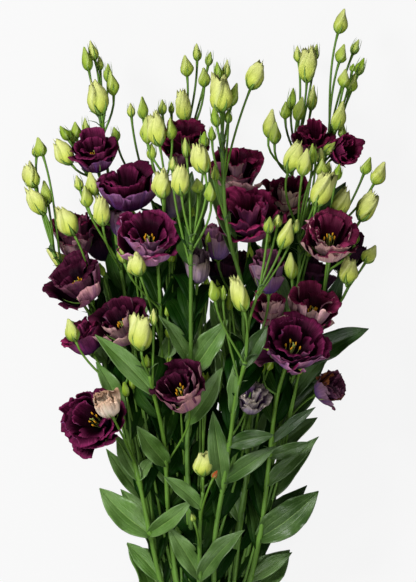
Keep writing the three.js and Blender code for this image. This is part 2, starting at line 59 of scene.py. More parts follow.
# The layout. A head is x, y, z of its base, length, width, lean and the Y where its stalk leaves the shoot.
# A leaf is the Y where it leaves the stem, x, y, z of its tip, width, arch and roll.
# A bloom is x, y, z of its base, lean, rise, span, depth, kind, skin and the Y where its stalk leaves.
STEMS = {
    "front_low": dict(
        slot=0, path=[(-6, 110, 72), (-5, 182, 112), (-3, 200, 121)],
        buds=[(-3, 216, 131, 23, 17, -2)],
        small=[(7, 214, 142, 9, 6, 25, 170), (-12, 170, 112, 9, 6, -20, 140)],
        leaves=[(184, -42, 216, 130, 13, 6, 10), (112, -38, 164, 102, 18, 4, 15),
            (112, 37, 162, 108, 17, 4, -15)],
    ),
    "center_right": dict(
        slot=1, path=[(8, 110, 66), (9, 152, 92), (18, 211, 122), (25, 260, 150), (29, 292, 166),
            (39, 331, 186)],
        buds=[(38, 381, 204, 34, 17, -15), (9, 391, 204, 20, 11, -9)],
        small=[(17, 392, 200, 14, 6, 0, 306)],
        leaves=[(205, 7, 282, 152, 17, 8, 0), (211, 70, 247, 150, 15, 6, -10),
            (280, 29, 332, 178, 10, 4, -20), (326, 61, 367, 192, 15, 4, -10), (248, 68, 258, 160, 15, 4, 0)],
        blooms={
            "violet_side": (62, 398, 178, -3, 8, 34, 40, "cup", "mauve"),
            "beige_side": (64, 366, 150, -5, 12, 34, 30, "cup", "lilac", 290),
        },
        shoots=[
            dict(start=331, path=[(43, 373, 198), (52, 401, 204)],
                buds=[(61, 458, 206, 16, 10, 7), (74, 443, 206, 30, 15, 20), (86, 458, 203, 14, 9, 15)],
                small=[(70, 464, 198, 12, 8, 10, 380)]),
        ],
    ),
    "center_left": dict(
        slot=9, path=[(-12, 110, 60), (-16, 180, 90), (-19, 240, 112), (-16, 300, 128), (-15, 373, 170),
            (-15, 451, 200)],
        buds=[(-24, 495, 206, 29, 18, -4), (-1, 517, 204, 29, 18, -16), (-8, 498, 194, 14, 12, -4),
            (5, 489, 203, 19, 11, -6), (-2, 543, 192, 15, 10, 0)],
        small=[(-33, 520, 194, 13, 9, 0, 420), (-19, 533, 190, 19, 9, -6, 424)],
        leaves=[(327, -46, 377, 172, 13, 4, 20), (318, 21, 372, 165, 22, 4, -20),
            (270, 16, 325, 150, 18, 4, -10)],
        blooms={
            "wilted_closed": (-9, 408, 158, 0, 12, 30, 34, "shut", "lilac", 360),
        },
    ),
    "left_front": dict(
        slot=8, path=[(-30, 110, 56), (-38, 180, 86), (-42, 250, 124), (-56, 317, 172)],
        buds=[(-64, 342, 190, 34, 21, 0)],
        small=[(-52, 367, 190, 16, 8, 0, 300)],
        leaves=[(300, -109, 358, 184, 17, 8, 10), (228, -69, 267, 150, 17, 6, 10)],
        blooms={
            "front_left_open": (-20, 290, 152, -25, 48, 50, 34, "open", "plum", 225),
        },
    ),
    "low_left": dict(
        slot=7, path=[(-46, 110, 62), (-56, 156, 88), (-67, 210, 108), (-80, 262, 118), (-88, 300, 118)],
        buds=[(-130, 351, 136, 23, 14, -20)],
        leaves=[(280, -110, 330, 128, 15, 4, 10), (212, -90, 257, 104, 14, 2, 10),
            (156, -107, 203, 92, 24, 6, 10), (158, -14, 191, 118, 15, 14, 0), (110, -80, 146, 66, 16, 4, 10),
            (212, -53, 236, 110, 10, 2, -10)],
        blooms={
            "far_left_open": (-104, 262, 124, -55, 55, 66, 34, "open", "plum", 215),
            "wilted_cream": (-92, 276, 172, -28, 20, 28, 28, "shut", "cream", 225),
            "left_low": (-117, 338, 100, -30, 10, 40, 32, "cup", "plum"),
            "left_red": (-76, 352, 128, -25, 32, 56, 36, "open", "plum"),
        },
    ),
    "right_front": dict(
        slot=2, path=[(45, 110, 52), (54, 152, 76), (64, 236, 110), (72, 300, 132), (80, 328, 144)],
        buds=[(86, 413, 124, 26, 13, -4)],
        leaves=[(110, 87, 137, 62, 14, 4, -10), (152, 113, 200, 92, 28, 8, -10),
            (236, 104, 250, 122, 12, 4, 0), (207, 113, 255, 108, 14, 4, -10),
            (250, 109, 285, 128, 10, 2, -10)],
        blooms={
            "main_front": (88, 338, 150, 15, 62, 66, 34, "open", "plum"),
            "right_low": (112, 290, 112, 65, 12, 40, 32, "cup", "mauve", 236),
            "right_pink": (103, 364, 122, 10, 30, 52, 40, "open", "plum"),
        },
    ),
    "right": dict(
        slot=3, path=[(36, 110, 32), (52, 180, 56), (70, 250, 80), (90, 320, 96), (112, 370, 106)],
        leaves=[(330, 162, 364, 124, 22, 6, -10), (285, 132, 350, 104, 12, 4, -10),
            (160, 102, 205, 66, 18, 4, -10)],
        blooms={
            "right_open": (122, 444, 140, 5, 62, 54, 32, "open", "plum"),
        },
        shoots=[
            dict(start=370, path=[(133, 388, 112), (144, 408, 118)],
                buds=[(140, 408, 132, 26, 17, 10), (159, 429, 122, 20, 14, 30)]),
            dict(start=370, path=[(122, 420, 112), (128, 462, 110)],
                buds=[(129, 475, 132, 30, 16, 22), (154, 471, 116, 31, 18, 27, 430),
                    (168, 508, 112, 24, 15, 28), (158, 518, 104, 18, 11, 20), (109, 485, 152, 35, 19, 20)],
                small=[(149, 448, 104, 14, 9, 5, 420), (130, 512, 122, 16, 9, 15, 440)]),
        ],
    ),
    "right_upper": dict(
        slot=11, path=[(20, 110, 28), (36, 180, 44), (54, 250, 60), (74, 330, 72), (93, 409, 84),
            (93, 461, 94)],
        buds=[(82, 520, 122, 32, 17, 20), (96, 516, 130, 27, 15, 9), (106, 528, 118, 20, 10, 3),
            (115, 515, 124, 18, 12, 6)],
        small=[(114, 529, 108, 15, 9, 3, 430), (121, 516, 112, 14, 8, 8, 426),
            (119, 538, 100, 16, 10, 40, 434)],
        leaves=[(200, 30, 255, 58, 16, 2, 10), (262, 84, 318, 74, 16, 2, -10),
            (370, 66, 428, 82, 18, 2, 10)],
        blooms={
            "top_right": (109, 535, 80, -5, 15, 40, 34, "cup", "plum"),
            "far_right": (127, 534, 92, 60, 10, 32, 34, "cup", "plum"),
        },
        shoots=[
            dict(start=461, path=[(112, 500, 60), (125, 560, 58)],
                buds=[(130, 563, 84, 29, 14, 16), (133, 661, 62, 25, 14, 16), (134, 631, 72, 19, 12, 18),
                    (148, 640, 58, 16, 9, 22), (153, 619, 64, 18, 10, 20), (138, 606, 80, 18, 13, 10),
                    (145, 602, 70, 19, 12, 15)],
                small=[(136, 556, 76, 13, 9, 10, 530), (147, 622, 76, 8, 6, 10, 540)]),
        ],
    ),
    "back_right": dict(
        slot=4, path=[(28, 110, 10), (48, 180, 16), (66, 250, 22), (78, 330, 30), (84, 400, 40),
            (84, 450, 50)],
        leaves=[(150, 72, 205, 24, 18, 2, -10), (222, 40, 275, 26, 16, 2, 10),
            (290, 106, 345, 38, 18, 2, -10)],
        blooms={
            "behind_right": (82, 474, 56, 0, 15, 50, 38, "cup", "plum"),
            "rest_right": (142, 420, 23, 15, 0, 50, 40, "cup", "plum", 350),
            "under_right": (102, 394, 46, 15, 5, 44, 38, "cup", "plum", 330),
        },
        shoots=[
            dict(start=450, path=[(86, 500, 26), (90, 545, 34)],
                buds=[(86, 585, 46, 21, 9, 5), (80, 575, 56, 17, 11, 0), (92, 573, 60, 24, 12, 12),
                    (106, 584, 50, 25, 10, 7), (102, 612, 44, 35, 17, 3), (110, 635, 36, 16, 8, 7),
                    (63, 556, 62, 28, 15, 10), (69, 549, 76, 22, 12, 3)],
                small=[(94, 633, 34, 16, 9, -7, 520)]),
        ],
    ),
    "center": dict(
        slot=10, path=[(29, 112, 44), (33, 160, 66), (41, 224, 90), (41, 300, 104), (38, 360, 118),
            (35, 410, 138), (24, 450, 158), (19, 480, 169), (17, 517, 172), (16, 547, 168)],
        buds=[(15, 578, 164, 36, 21, -2), (13, 612, 148, 17, 9, -8), (20, 613, 142, 18, 8, 4),
            (25, 585, 150, 23, 11, 13), (11, 564, 176, 19, 10, -12), (44, 602, 138, 29, 17, 22, 500),
            (10, 510, 176, 15, 8, -6, 466)],
        small=[(22, 568, 148, 14, 8, 0, 510), (6, 550, 172, 14, 8, 0, 500)],
        leaves=[(170, 14, 228, 86, 16, 2, 10), (232, 62, 290, 98, 16, 2, -10)],
        blooms={
            "lavender_small": (44, 277, 128, 5, 15, 28, 30, "shut", "lilac", 215),
            "magenta_cup": (44, 452, 128, -3, 28, 58, 40, "open", "plum", 400),
            "center_cup": (33, 503, 112, 0, 20, 58, 40, "cup", "plum", 420),
            "center_side": (12, 432, 112, 0, 10, 34, 34, "cup", "mauve", 380),
        },
    ),
    "left_center": dict(
        slot=13, path=[(-22, 110, 48), (-33, 180, 72), (-40, 250, 94), (-44, 320, 112), (-46, 390, 126),
            (-48, 430, 130)],
        buds=[(-43, 493, 150, 28, 17, -6), (-65, 416, 186, 22, 17, -20, 340),
            (-81, 429, 160, 20, 11, -15, 380)],
        leaves=[(200, -8, 255, 88, 16, 2, -10), (205, -64, 255, 92, 16, 2, 10),
            (330, -14, 385, 118, 16, 2, -10)],
        blooms={
            "front_center_open": (-56, 446, 146, -5, 62, 60, 32, "open", "plum"),
            "left_cup": (-77, 484, 118, -5, 30, 56, 38, "open", "plum"),
            "brown_closed": (-86, 455, 107, -2, 10, 22, 28, "shut", "mauve"),
        },
        shoots=[
            dict(start=430, path=[(-42, 480, 134), (-41, 515, 140)],
                buds=[(-58, 548, 142, 26, 13, -5), (-46, 545, 154, 33, 17, -12),
                    (-34, 552, 150, 21, 11, -6)],
                small=[(-54, 532, 138, 16, 10, 0, 500)]),
        ],
    ),
    "back_left": dict(
        slot=5, path=[(-8, 110, 10), (-14, 180, 18), (-20, 250, 28), (-26, 330, 38), (-30, 410, 48),
            (-34, 470, 60)],
        buds=[(-63, 574, 84, 22, 11, -5), (-90, 552, 78, 14, 9, -10)],
        small=[(-75, 576, 80, 14, 8, -5, 420)],
        leaves=[(130, -34, 185, 20, 18, 2, 10), (190, 8, 245, 34, 16, 2, -10),
            (262, -50, 315, 42, 16, 2, 10), (352, -52, 402, 52, 14, 2, 10)],
        blooms={
            "center_ruffled": (-21, 526, 82, 0, 20, 46, 44, "cup", "plum"),
            "grey_side": (-34, 474, 96, 0, 10, 26, 38, "shut", "lilac", 410),
            "under_left": (-66, 388, 42, -12, 5, 46, 38, "cup", "plum", 320),
            "under_center": (20, 404, 32, 8, 5, 46, 38, "cup", "plum", 330),
        },
        shoots=[
            dict(start=470, path=[(-28, 520, 44), (-22, 555, 44)],
                buds=[(-21, 572, 58, 31, 16, -9), (-19, 618, 54, 21, 13, -5), (-9, 634, 48, 17, 9, 0),
                    (-2, 607, 60, 19, 12, 0), (-44, 579, 62, 15, 9, 0)],
                small=[(2, 629, 46, 14, 8, 10, 520), (-35, 580, 50, 12, 6, 0, 524)]),
        ],
    ),
    "left_upper": dict(
        slot=12, path=[(-26, 110, 30), (-42, 180, 48), (-56, 250, 62), (-68, 320, 74), (-82, 400, 80),
            (-93, 470, 84)],
        buds=[(-111, 497, 112, 23, 14, -15), (-118, 485, 122, 21, 13, -11),
            (-103, 466, 126, 29, 17, -6, 420)],
        small=[(-126, 502, 104, 15, 9, -15, 424)],
        leaves=[(190, -24, 245, 54, 16, 2, -10), (260, -86, 312, 74, 16, 2, 10),
            (352, -56, 405, 82, 14, 2, -10)],
        blooms={
            "upper_left_cup": (-108, 522, 98, -10, 32, 46, 34, "open", "plum"),
        },
        shoots=[
            dict(start=470, path=[(-100, 530, 74), (-106, 570, 70)],
                buds=[(-112, 634, 62, 20, 10, -15), (-118, 623, 70, 24, 11, -10), (-99, 612, 66, 18, 9, 0),
                    (-93, 598, 76, 24, 12, -7), (-105, 578, 92, 34, 20, -15)],
                small=[(-107, 624, 54, 14, 8, -5, 540)]),
            dict(start=470, path=[(-112, 505, 76), (-122, 525, 76)],
                buds=[(-130, 555, 78, 16, 11, -4), (-138, 553, 86, 16, 10, -30),
                    (-135, 528, 102, 28, 17, -35)],
                small=[(-120, 558, 84, 17, 8, -7, 508), (-134, 549, 78, 14, 9, -15, 504)]),
        ],
    ),
    "far_left": dict(
        slot=6, path=[(-38, 110, 22), (-60, 180, 34), (-80, 250, 44), (-100, 320, 54), (-112, 370, 62)],
        buds=[(-138, 422, 68, 30, 15, -45), (-132, 457, 112, 31, 19, -30)],
        leaves=[(190, -101, 242, 60, 14, 4, 10), (150, -86, 200, 42, 18, 2, 10),
            (250, -60, 305, 52, 16, 2, -10), (330, -138, 372, 66, 16, 2, 10)],
        blooms={
            "left_big": (-123, 386, 98, -35, 25, 56, 42, "open", "plum"),
            "rest_left": (-98, 432, 22, -15, 0, 48, 40, "cup", "plum", 310),
            "left_mauve": (-130, 434, 48, -8, 20, 46, 44, "cup", "plum"),
        },
        shoots=[
            dict(start=370, path=[(-132, 400, 66), (-154, 440, 88)],
                buds=[(-162, 478, 86, 31, 16, -33), (-159, 488, 74, 24, 12, -12),
                    (-172, 505, 80, 25, 16, -21), (-171, 536, 70, 14, 10, 5), (-164, 537, 78, 19, 12, -18)]),
        ],
    ),
}

# Shared with the part's source: gaps and the tie in millimetres, and the rise of buds in degrees
GAP = 0.3
FORK_STEP = 4.5
CUT_LENGTH = 55
TIE_WIDTH = 11
TIE_INNER = 16.2
TIE_THICKNESS = 1.6
TIE_CENTRE = TIE_INNER + TIE_THICKNESS
OUTER_STEMS = 10
INNER_PLACES = (0, 3, 5, 8)
BUD_RISE = 4

# How closely lines are pointed, and the height under which a piece is pressed flat on the table
STEM_STEP = 7
FINE_STEP = 4
PRESSED_BELOW = 4.0
# Points round a stem, a filament and an anther
STEM_SIDES, FILAMENT_SIDES, BEAN_SIDES = 8, 6, 6
TURN = 2 * math.pi
# The range of random angles and phases
ANY_ANGLE = (0, 6.28)


# Small sums on points

def vec(*numbers):
    return np.array(numbers, dtype=float)


def unit(vector):
    return vector / max(np.linalg.norm(vector), 1e-9)


def pointing(lean, rise):
    """The direction that a head points in: lean from +Y towards +X, rise up from the table."""
    lean, rise = math.radians(lean), math.radians(rise)
    return vec(math.cos(rise) * math.sin(lean), math.cos(rise) * math.cos(lean), math.sin(rise))


def square_to(vector, axis):
    """The part of a vector that is square to an axis, at length one."""
    return unit(vector - np.dot(vector, axis) * axis)


def turned(vector, axis, angle):
    """A vector that is square to an axis, turned about it."""
    return vector * math.cos(angle) + np.cross(axis, vector) * math.sin(angle)


def side_of(along, angle):
    """A direction square to a line, turned about it from the table's upward side."""
    return turned(square_to(UP, along), along, angle)


def ease(value, low, high):
    """Zero below low, one above high, and a smooth step between."""
    share = np.clip((value - low) / (high - low), 0, 1)
    return share * share * (3 - 2 * share)


def smooth_line(points, step):
    """A curve through the points, as closely spaced points."""
    points = np.array(points, dtype=float)
    spans = np.linalg.norm(np.diff(points, axis=0), axis=1)
    slopes = np.diff(points, axis=0) / spans[:, None]
    before, after = spans[:-1, None], spans[1:, None]
    middle = (slopes[:-1] * after + slopes[1:] * before) / (before + after)
    tangents = np.vstack([slopes[:1], middle, slopes[-1:]])
    line = []
    for i, span in enumerate(spans):
        for share in np.arange(0, 1, 1 / max(1, round(span / step))):
            square, cube = share**2, share**3
            line.append(
                (2 * cube - 3 * square + 1) * points[i]
                + (cube - 2 * square + share) * span * tangents[i]
                + (3 * square - 2 * cube) * points[i + 1]
                + (cube - square) * span * tangents[i + 1]
            )
    return np.array([*line, points[-1]])


def at_y(line, y):
    """The point of a line at a given Y, with the line's direction there."""
    i = int(np.clip(np.searchsorted(line[:, 1], y) - 1, 0, len(line) - 2))
    share = np.clip((y - line[i, 1]) / max(line[i + 1, 1] - line[i, 1], 1e-6), 0, 1)
    return line[i] + share * (line[i + 1] - line[i]), unit(line[i + 1] - line[i])


def stalk_line(start, along, end, direction):
    """A stalk leaves the shoot along the shoot and reaches its head along the head's own axis."""
    length = np.linalg.norm(end - start)
    knots = [start, start + 0.12 * length * along, end - 0.4 * length * direction, end]
    share = np.linspace(0, 1, max(4, round(length / STEM_STEP)) + 1)[:, None]
    rest = 1 - share
    weights = (rest**3, 3 * rest**2 * share, 3 * rest * share**2, share**3)
    return sum(weight * knot for weight, knot in zip(weights, knots))


# Meshes

def linked(name, data):
    made = bpy.data.objects.new(name, data)
    bpy.context.scene.collection.objects.link(made)
    return made


def mark(mesh, name, numbers, kind="FLOAT"):
    """Writes a number or a vector at each point of a mesh, for finishes and node trees to read."""
    written = mesh.attributes.new(name, kind, "POINT").data
    flat = np.asarray(numbers, dtype=float).reshape(-1)
    written.foreach_set("vector" if kind == "FLOAT_VECTOR" else "value", flat)


def above_table(points):
    """Presses what would dip under the table flat on it, in the order that it lies."""
    height = points[:, 2]
    pressed = PRESSED_BELOW * np.exp(np.minimum(height - PRESSED_BELOW, 0) / PRESSED_BELOW)
    return np.column_stack([points[:, :2], np.where(height < PRESSED_BELOW, pressed, height)])


class Piece:
    """Points in millimetres, faces, and the numbers that the finishes read at each point."""

    READ = ("along", "across", "inner", "tone")

    def __init__(self):
        self.points, self.faces, self.finishes, self.count = [], [], [], 0
        self.values = {name: [] for name in self.READ}

    def add(self, points, faces, finish, **values):
        points = np.asarray(points, dtype=float).reshape(-1, 3)
        self.faces += [[i + self.count for i in face] for face in faces]
        self.finishes += [finish] * len(faces)
        self.points.append(points)
        for name in self.READ:
            self.values[name].append(np.broadcast_to(values.get(name, 0.0), len(points)))
        self.count += len(points)

    def take(self, mesh, finish):
        """Adds a mesh that a node tree made, and drops the mesh."""
        points = np.empty(len(mesh.vertices) * 3)
        mesh.vertices.foreach_get("co", points)
        values = {}
        for name in self.READ:
            if name in mesh.attributes:
                values[name] = np.empty(len(mesh.vertices))
                mesh.attributes[name].data.foreach_get("value", values[name])
        faces = [list(face.vertices) for face in mesh.polygons]
        self.add(points.reshape(-1, 3) / MM, faces, finish, **values)
        bpy.data.meshes.remove(mesh)

    def mesh(self, name, points, read):
        """A smooth mesh on the given places, which carries the numbers that are named."""
        mesh = bpy.data.meshes.new(name)
        mesh.from_pydata(points, [], self.faces)
        for value in read:
            mark(mesh, value, np.concatenate(self.values[value]))
        mesh.shade_smooth()
        return mesh

    def object(self, name, finishes, stands_for):
        """The finished piece, which rides on the bunch and stands for its solid."""
        mesh = self.mesh(name, above_table(np.concatenate(self.points)) * MM, self.READ)
        for finish in finishes:
            mesh.materials.append(finish)
        mesh.polygons.foreach_set("material_index", self.finishes)
        made = linked(name, mesh)
        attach(made, "root")
        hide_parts(stands_for)


def sheet_faces(rows, columns):
    """Faces of a thin sheet's two sides and of the rim that joins them."""
    at = lambda i, j, side: (side * rows + i) * columns + j
    faces = []
    for i in range(rows - 1):
        for j in range(columns - 1):
            faces.append([at(i, j, 0), at(i, j + 1, 0), at(i + 1, j + 1, 0), at(i + 1, j, 0)])
            faces.append([at(i, j, 1), at(i + 1, j, 1), at(i + 1, j + 1, 1), at(i, j + 1, 1)])
    rim = [(0, j) for j in range(columns)] + [(i, columns - 1) for i in range(1, rows)]
    rim += [(rows - 1, j) for j in range(columns - 2, -1, -1)] + [(i, 0) for i in range(rows - 2, 0, -1)]
    for a, b in zip(rim, rim[1:] + rim[:1]):
        faces.append([at(*b, 0), at(*a, 0), at(*a, 1), at(*b, 1)])
    return faces


def add_sheet(piece, grid, thickness, finish, along, across, tone, under=0.0):
    """Adds a thin closed sheet. Its inner side is the one that its rows and columns turn towards.

    The number inner is one on that side, and under says what it is on the other.
    """
    rows, columns, _ = grid.shape
    normal = np.cross(np.gradient(grid, axis=1), np.gradient(grid, axis=0))
    normal /= np.maximum(np.linalg.norm(normal, axis=2, keepdims=True), 1e-9)
    half = normal * np.broadcast_to(thickness, (rows, columns))[..., None] / 2
    twice = lambda value: np.tile(np.broadcast_to(value, (rows, columns)).reshape(-1), 2)
    piece.add(
        np.stack([grid + half, grid - half]), sheet_faces(rows, columns), finish,
        along=twice(along), across=twice(across), tone=tone, inner=np.repeat([1.0, under], rows * columns),
    )


def add_loft(piece, rings, first, last, along, across=0.0):
    """Adds a closed form through rings of points, with a fan at each end."""
    rings = np.asarray(rings, dtype=float)
    stations, count, _ = rings.shape
    points = np.concatenate([[first], rings.reshape(-1, 3), [last]])
    at = lambda i, k: 1 + i * count + k % count
    faces = [[0, at(0, k + 1), at(0, k)] for k in range(count)]
    faces += [[len(points) - 1, at(stations - 1, k), at(stations - 1, k + 1)] for k in range(count)]
    for i in range(stations - 1):
        faces += [[at(i, k), at(i, k + 1), at(i + 1, k + 1), at(i + 1, k)] for k in range(count)]
    spread = lambda value: np.pad(np.broadcast_to(value, (stations, count)).reshape(-1), 1, "edge")
    piece.add(points, faces, 0, along=spread(along), across=spread(across))


# Node trees for what follows a line or sits on a point

class Tree:
    """A node group with named inputs. Its nodes come from one method."""

    KINDS = {"Geometry": "NodeSocketGeometry", "Material": "NodeSocketMaterial", "Shape": "NodeSocketObject"}

    def __init__(self, name, inputs):
        self.group = bpy.data.node_groups.new(name, "GeometryNodeTree")
        for label in ("Geometry", *inputs):
            kind = self.KINDS.get(label, "NodeSocketInt")
            self.group.interface.new_socket(label, in_out="INPUT", socket_type=kind)
        self.group.interface.new_socket("Geometry", in_out="OUTPUT", socket_type="NodeSocketGeometry")
        start = self.group.nodes.new("NodeGroupInput")
        self.inputs = {socket.name: socket for socket in start.outputs if socket.name}

    def node(self, kind, settings=None, sockets=None, out=0):
        made = self.group.nodes.new(kind)
        for name, value in (settings or {}).items():
            setattr(made, name, value)
        for name, value in (sockets or {}).items():
            if isinstance(value, bpy.types.NodeSocket):
                self.group.links.new(value, made.inputs[name])
            else:
                made.inputs[name].default_value = value
        return [socket for socket in made.outputs if socket.enabled][out]

    def named(self, name, kind="FLOAT"):
        return self.node("GeometryNodeInputNamedAttribute", {"data_type": kind}, {"Name": name})

    def end(self, geometry):
        """Ends the tree in plain painted geometry."""
        plain = self.node("GeometryNodeRealizeInstances", {}, {"Geometry": geometry})
        finish = self.inputs["Material"]
        painted = self.node("GeometryNodeSetMaterial", {}, {"Geometry": plain, "Material": finish})
        self.group.links.new(painted, self.group.nodes.new("NodeGroupOutput").inputs[0])
        return self.group


def tube_tree():
    """Round stems along lines of points, each as thick as its points say."""
    tree = Tree("Stems along lines", ("Sides", "Material"))
    line = tree.node("GeometryNodeMeshToCurve", {}, {"Mesh": tree.inputs["Geometry"]})
    sides = tree.inputs["Sides"]
    ring = tree.node("GeometryNodeCurvePrimitiveCircle", {}, {"Resolution": sides, "Radius": 1.0})
    return tree.end(tree.node(
        "GeometryNodeCurveToMesh", {},
        {"Curve": line, "Profile Curve": ring, "Scale": tree.named("thick"), "Fill Caps": True},
    ))


def head_tree():
    """One shape on each point, aimed, turned and sized as the point says."""
    tree = Tree("Shapes on points", ("Shape", "Material"))
    geometry_out = 4
    shape = tree.node(
        "GeometryNodeObjectInfo", {}, {"Object": tree.inputs["Shape"], "As Instance": True}, out=geometry_out)
    aim, face, size = (tree.named(name, "FLOAT_VECTOR") for name in ("aim", "face", "size"))
    turn = tree.node(
        "FunctionNodeAxesToRotation", {"primary_axis": "Z", "secondary_axis": "X"},
        {"Primary Axis": aim, "Secondary Axis": face},
    )
    return tree.end(tree.node(
        "GeometryNodeInstanceOnPoints", {},
        {"Points": tree.inputs["Geometry"], "Instance": shape, "Rotation": turn, "Scale": size},
    ))


def grown(mesh, tree, inputs):
    """The plain mesh that a node tree makes of a mesh of points or lines."""
    holder = linked("holder", mesh)
    modifier = holder.modifiers.new(tree.name, "NODES")
    modifier.node_group = tree
    for item in tree.interface.items_tree:
        if item.item_type == "SOCKET" and item.in_out == "INPUT" and item.name in inputs:
            modifier[item.identifier] = inputs[item.name]
    graph = bpy.context.evaluated_depsgraph_get()
    made = bpy.data.meshes.new_from_object(holder.evaluated_get(graph))
    bpy.data.objects.remove(holder)
    bpy.data.meshes.remove(mesh)
    if not made.polygons:
        raise RuntimeError(f"{tree.name} made nothing")
    return made


def tubes(lines, tree, sides, finish):
    """Lines are points, radii, and the numbers along and tone."""
    mesh = bpy.data.meshes.new("lines")
    points, edges, values = [], [], {"thick": [], "along": [], "tone": []}
    for line, radii, along, tone in lines:
        start = len(points)
        points += list(line * MM)
        edges += [(i, i + 1) for i in range(start, start + len(line) - 1)]
        for name, value in (("thick", radii * MM), ("along", along), ("tone", tone)):
            values[name] += list(np.broadcast_to(value, len(line)))
    mesh.from_pydata(points, edges, [])
    for name, numbers in values.items():
        mark(mesh, name, numbers)
    return grown(mesh, tree, {"Sides": sides, "Material": finish})


def heads(rows, tree, shape, finish):
    """Rows are base, aim, face, width, length and tone."""
    bases, aims, faces, widths, lengths, tones = zip(*rows)
    mesh = bpy.data.meshes.new("points")
    mesh.from_pydata([base * MM for base in bases], [], [])
    mark(mesh, "aim", aims, "FLOAT_VECTOR")
    mark(mesh, "face", faces, "FLOAT_VECTOR")
    mark(mesh, "size", np.column_stack([widths, widths, lengths]) * MM, "FLOAT_VECTOR")
    mark(mesh, "tone", tones)
    return grown(mesh, tree, {"Shape": shape, "Material": finish})


# Shapes that repeat, at length one along +Z and width one

def pattern(name, build, *sizes):
    """An object that holds a repeated shape, while the pieces are made. Its tone comes from its points."""
    piece = Piece()
    build(piece, *sizes)
    return linked(name, piece.mesh(name, np.concatenate(piece.points), ("along", "across", "inner")))


# Buds of three petals wrapped over each other: radii from neck to tip at equal steps, twist, lap, frill and
# bend of the tip, points across a petal, and seed
BUDS = {
    "ripe": (
        (0.13, 0.3, 0.42, 0.47, 0.5, 0.5, 0.49, 0.47, 0.44, 0.39, 0.34, 0.28), 1.5, 0.36, 0.13, 0.04, 8, 7),
    "full": (
        (0.13, 0.28, 0.4, 0.47, 0.5, 0.51, 0.49, 0.45, 0.4, 0.33, 0.26, 0.18), 1.1, 0.38, 0.14, -0.05, 8, 19),
    "crowned": (
        (0.13, 0.3, 0.43, 0.49, 0.52, 0.52, 0.5, 0.47, 0.44, 0.41, 0.38, 0.36), 1.2, 0.34, 0.16, 0.02, 8, 23),
    "firm": ((0.15, 0.35, 0.46, 0.5, 0.5, 0.45, 0.39, 0.31, 0.23, 0.15, 0.09), 1.3, 0.16, 0, 0.06, 5, 11),
    "green": ((0.2, 0.41, 0.5, 0.49, 0.42, 0.3, 0.18, 0.08), 0.9, 0.12, 0, 0.05, 4, 5),
}
PETALS_IN_BUD = 3


def bud_shape(piece, radii, twist, lap, frill, bend, per_petal, seed):
    chance = random.Random(seed)
    phase = [chance.uniform(*ANY_ANGLE) for _ in range(2)]
    count = PETALS_IN_BUD * per_petal
    fold = np.tile(np.linspace(0, 1, per_petal), PETALS_IN_BUD)
    ragged = np.array([chance.uniform(-1, 1) for _ in range(count)])
    steps = np.linspace(0, 1, len(radii))
    rings = []
    for height, radius in zip(steps, radii):
        angle = TURN * np.arange(count) / count + twist * height
        over = radius * (1 + lap * (fold - 0.5) * ease(height, 0.1, 0.35))
        slow, quick = 2 * angle + phase[0] + 3 * height, 3 * angle + phase[1] - 5 * height
        dent = 0.07 * np.sin(slow) + 0.07 * np.sin(quick)
        over = over * (1 + dent * ease(height, 0.15, 0.5) * (1 + 1.5 * ease(height, 0.75, 1)))
        over = over * (1 + 2.2 * frill * np.roll(ragged, 2) * ease(height, 0.5, 1))
        rise = height + frill * ragged * ease(height, 0.7, 1)
        rings.append(np.column_stack([over * np.cos(angle) + bend * height**2, over * np.sin(angle), rise]))
    if frill:
        # The frilled rim turns in and down to a sunk tip
        rings.append(rings[-1] * vec(0.55, 0.55, 1) + vec(0.45 * bend, 0, -0.09))
        steps = np.append(steps, 1.0)
    add_loft(piece, rings, (0, 0, 0), (bend, 0, 0.9 if frill else 1.05), steps[:, None], fold[None, :])


# Calyces of five narrow sepals: distance out and height from base to point, then widths
CALYCES = {
    "sepals": ([(0.12, 0), (0.33, 0.2), (0.45, 0.45), (0.5, 0.7), (0.52, 1.0)], (0.3, 0.26, 0.16, 0.07)),
    "spikes": (
        [(0.18, 0), (0.42, 0.14), (0.51, 0.3), (0.5, 0.52), (0.42, 0.78), (0.36, 1.05)],
        (0.32, 0.3, 0.2, 0.1, 0.04),
    ),
    "collar": ([(0.07, 0), (0.3, 0.08), (0.55, 0.22), (0.68, 0.34), (0.8, 0.5)], (0.14, 0.14, 0.08, 0.04)),
}
SEPALS = 5


def calyx_shape(piece, spine, widths):
    for k in range(SEPALS):
        angle = TURN * (k + 0.5) / SEPALS
        out, side = vec(math.cos(angle), math.sin(angle), 0), vec(-math.sin(angle), math.cos(angle), 0)
        rings = []
        for (distance, height), width in zip(spine[:-1], widths):
            middle = distance * out + height * UP
            edge = 0.5 * width * side - 0.12 * width * out
            rings.append([
                middle + edge, middle + 0.035 * out, middle - edge - 0.24 * width * out, middle - 0.02 * out,
            ])
        first, last = spine[0][0] * out + (spine[0][1] - 0.01) * UP, spine[-1][0] * out + spine[-1][1] * UP
        along = np.linspace(0, 0.85, len(rings))[:, None]
        add_loft(piece, rings, first, last, along, np.array([[1, 0, -1, 0]]))


# Half the width of a leaf blade, as a share of its full half width, at stations from foot to tip
LEAF_STATIONS = (0, 0.08, 0.22, 0.38, 0.5, 0.65, 0.8, 0.9, 0.96, 1)
LEAF_OUTLINE = (0.3, 0.56, 0.86, 0.99, 1, 0.87, 0.57, 0.31, 0.13, 0.02)


def blade_shape(piece):
    """A plain leaf: along +Z, with its face towards +X."""
    station = np.array((0, 0.16, 0.4, 0.66, 0.88, 1))[:, None]
    share = np.linspace(-1, 1, 5)[None, :]
    half = 0.5 * np.interp(station, LEAF_STATIONS, LEAF_OUTLINE)
    bow = 0.5 * np.sin(math.pi * station) - 0.6 * station**3
    grid = np.stack([0.3 * half * np.abs(share) + bow, share * half, station + 0 * share], axis=-1)
    add_sheet(piece, grid, 0.02, 0, station, share, 0.5)


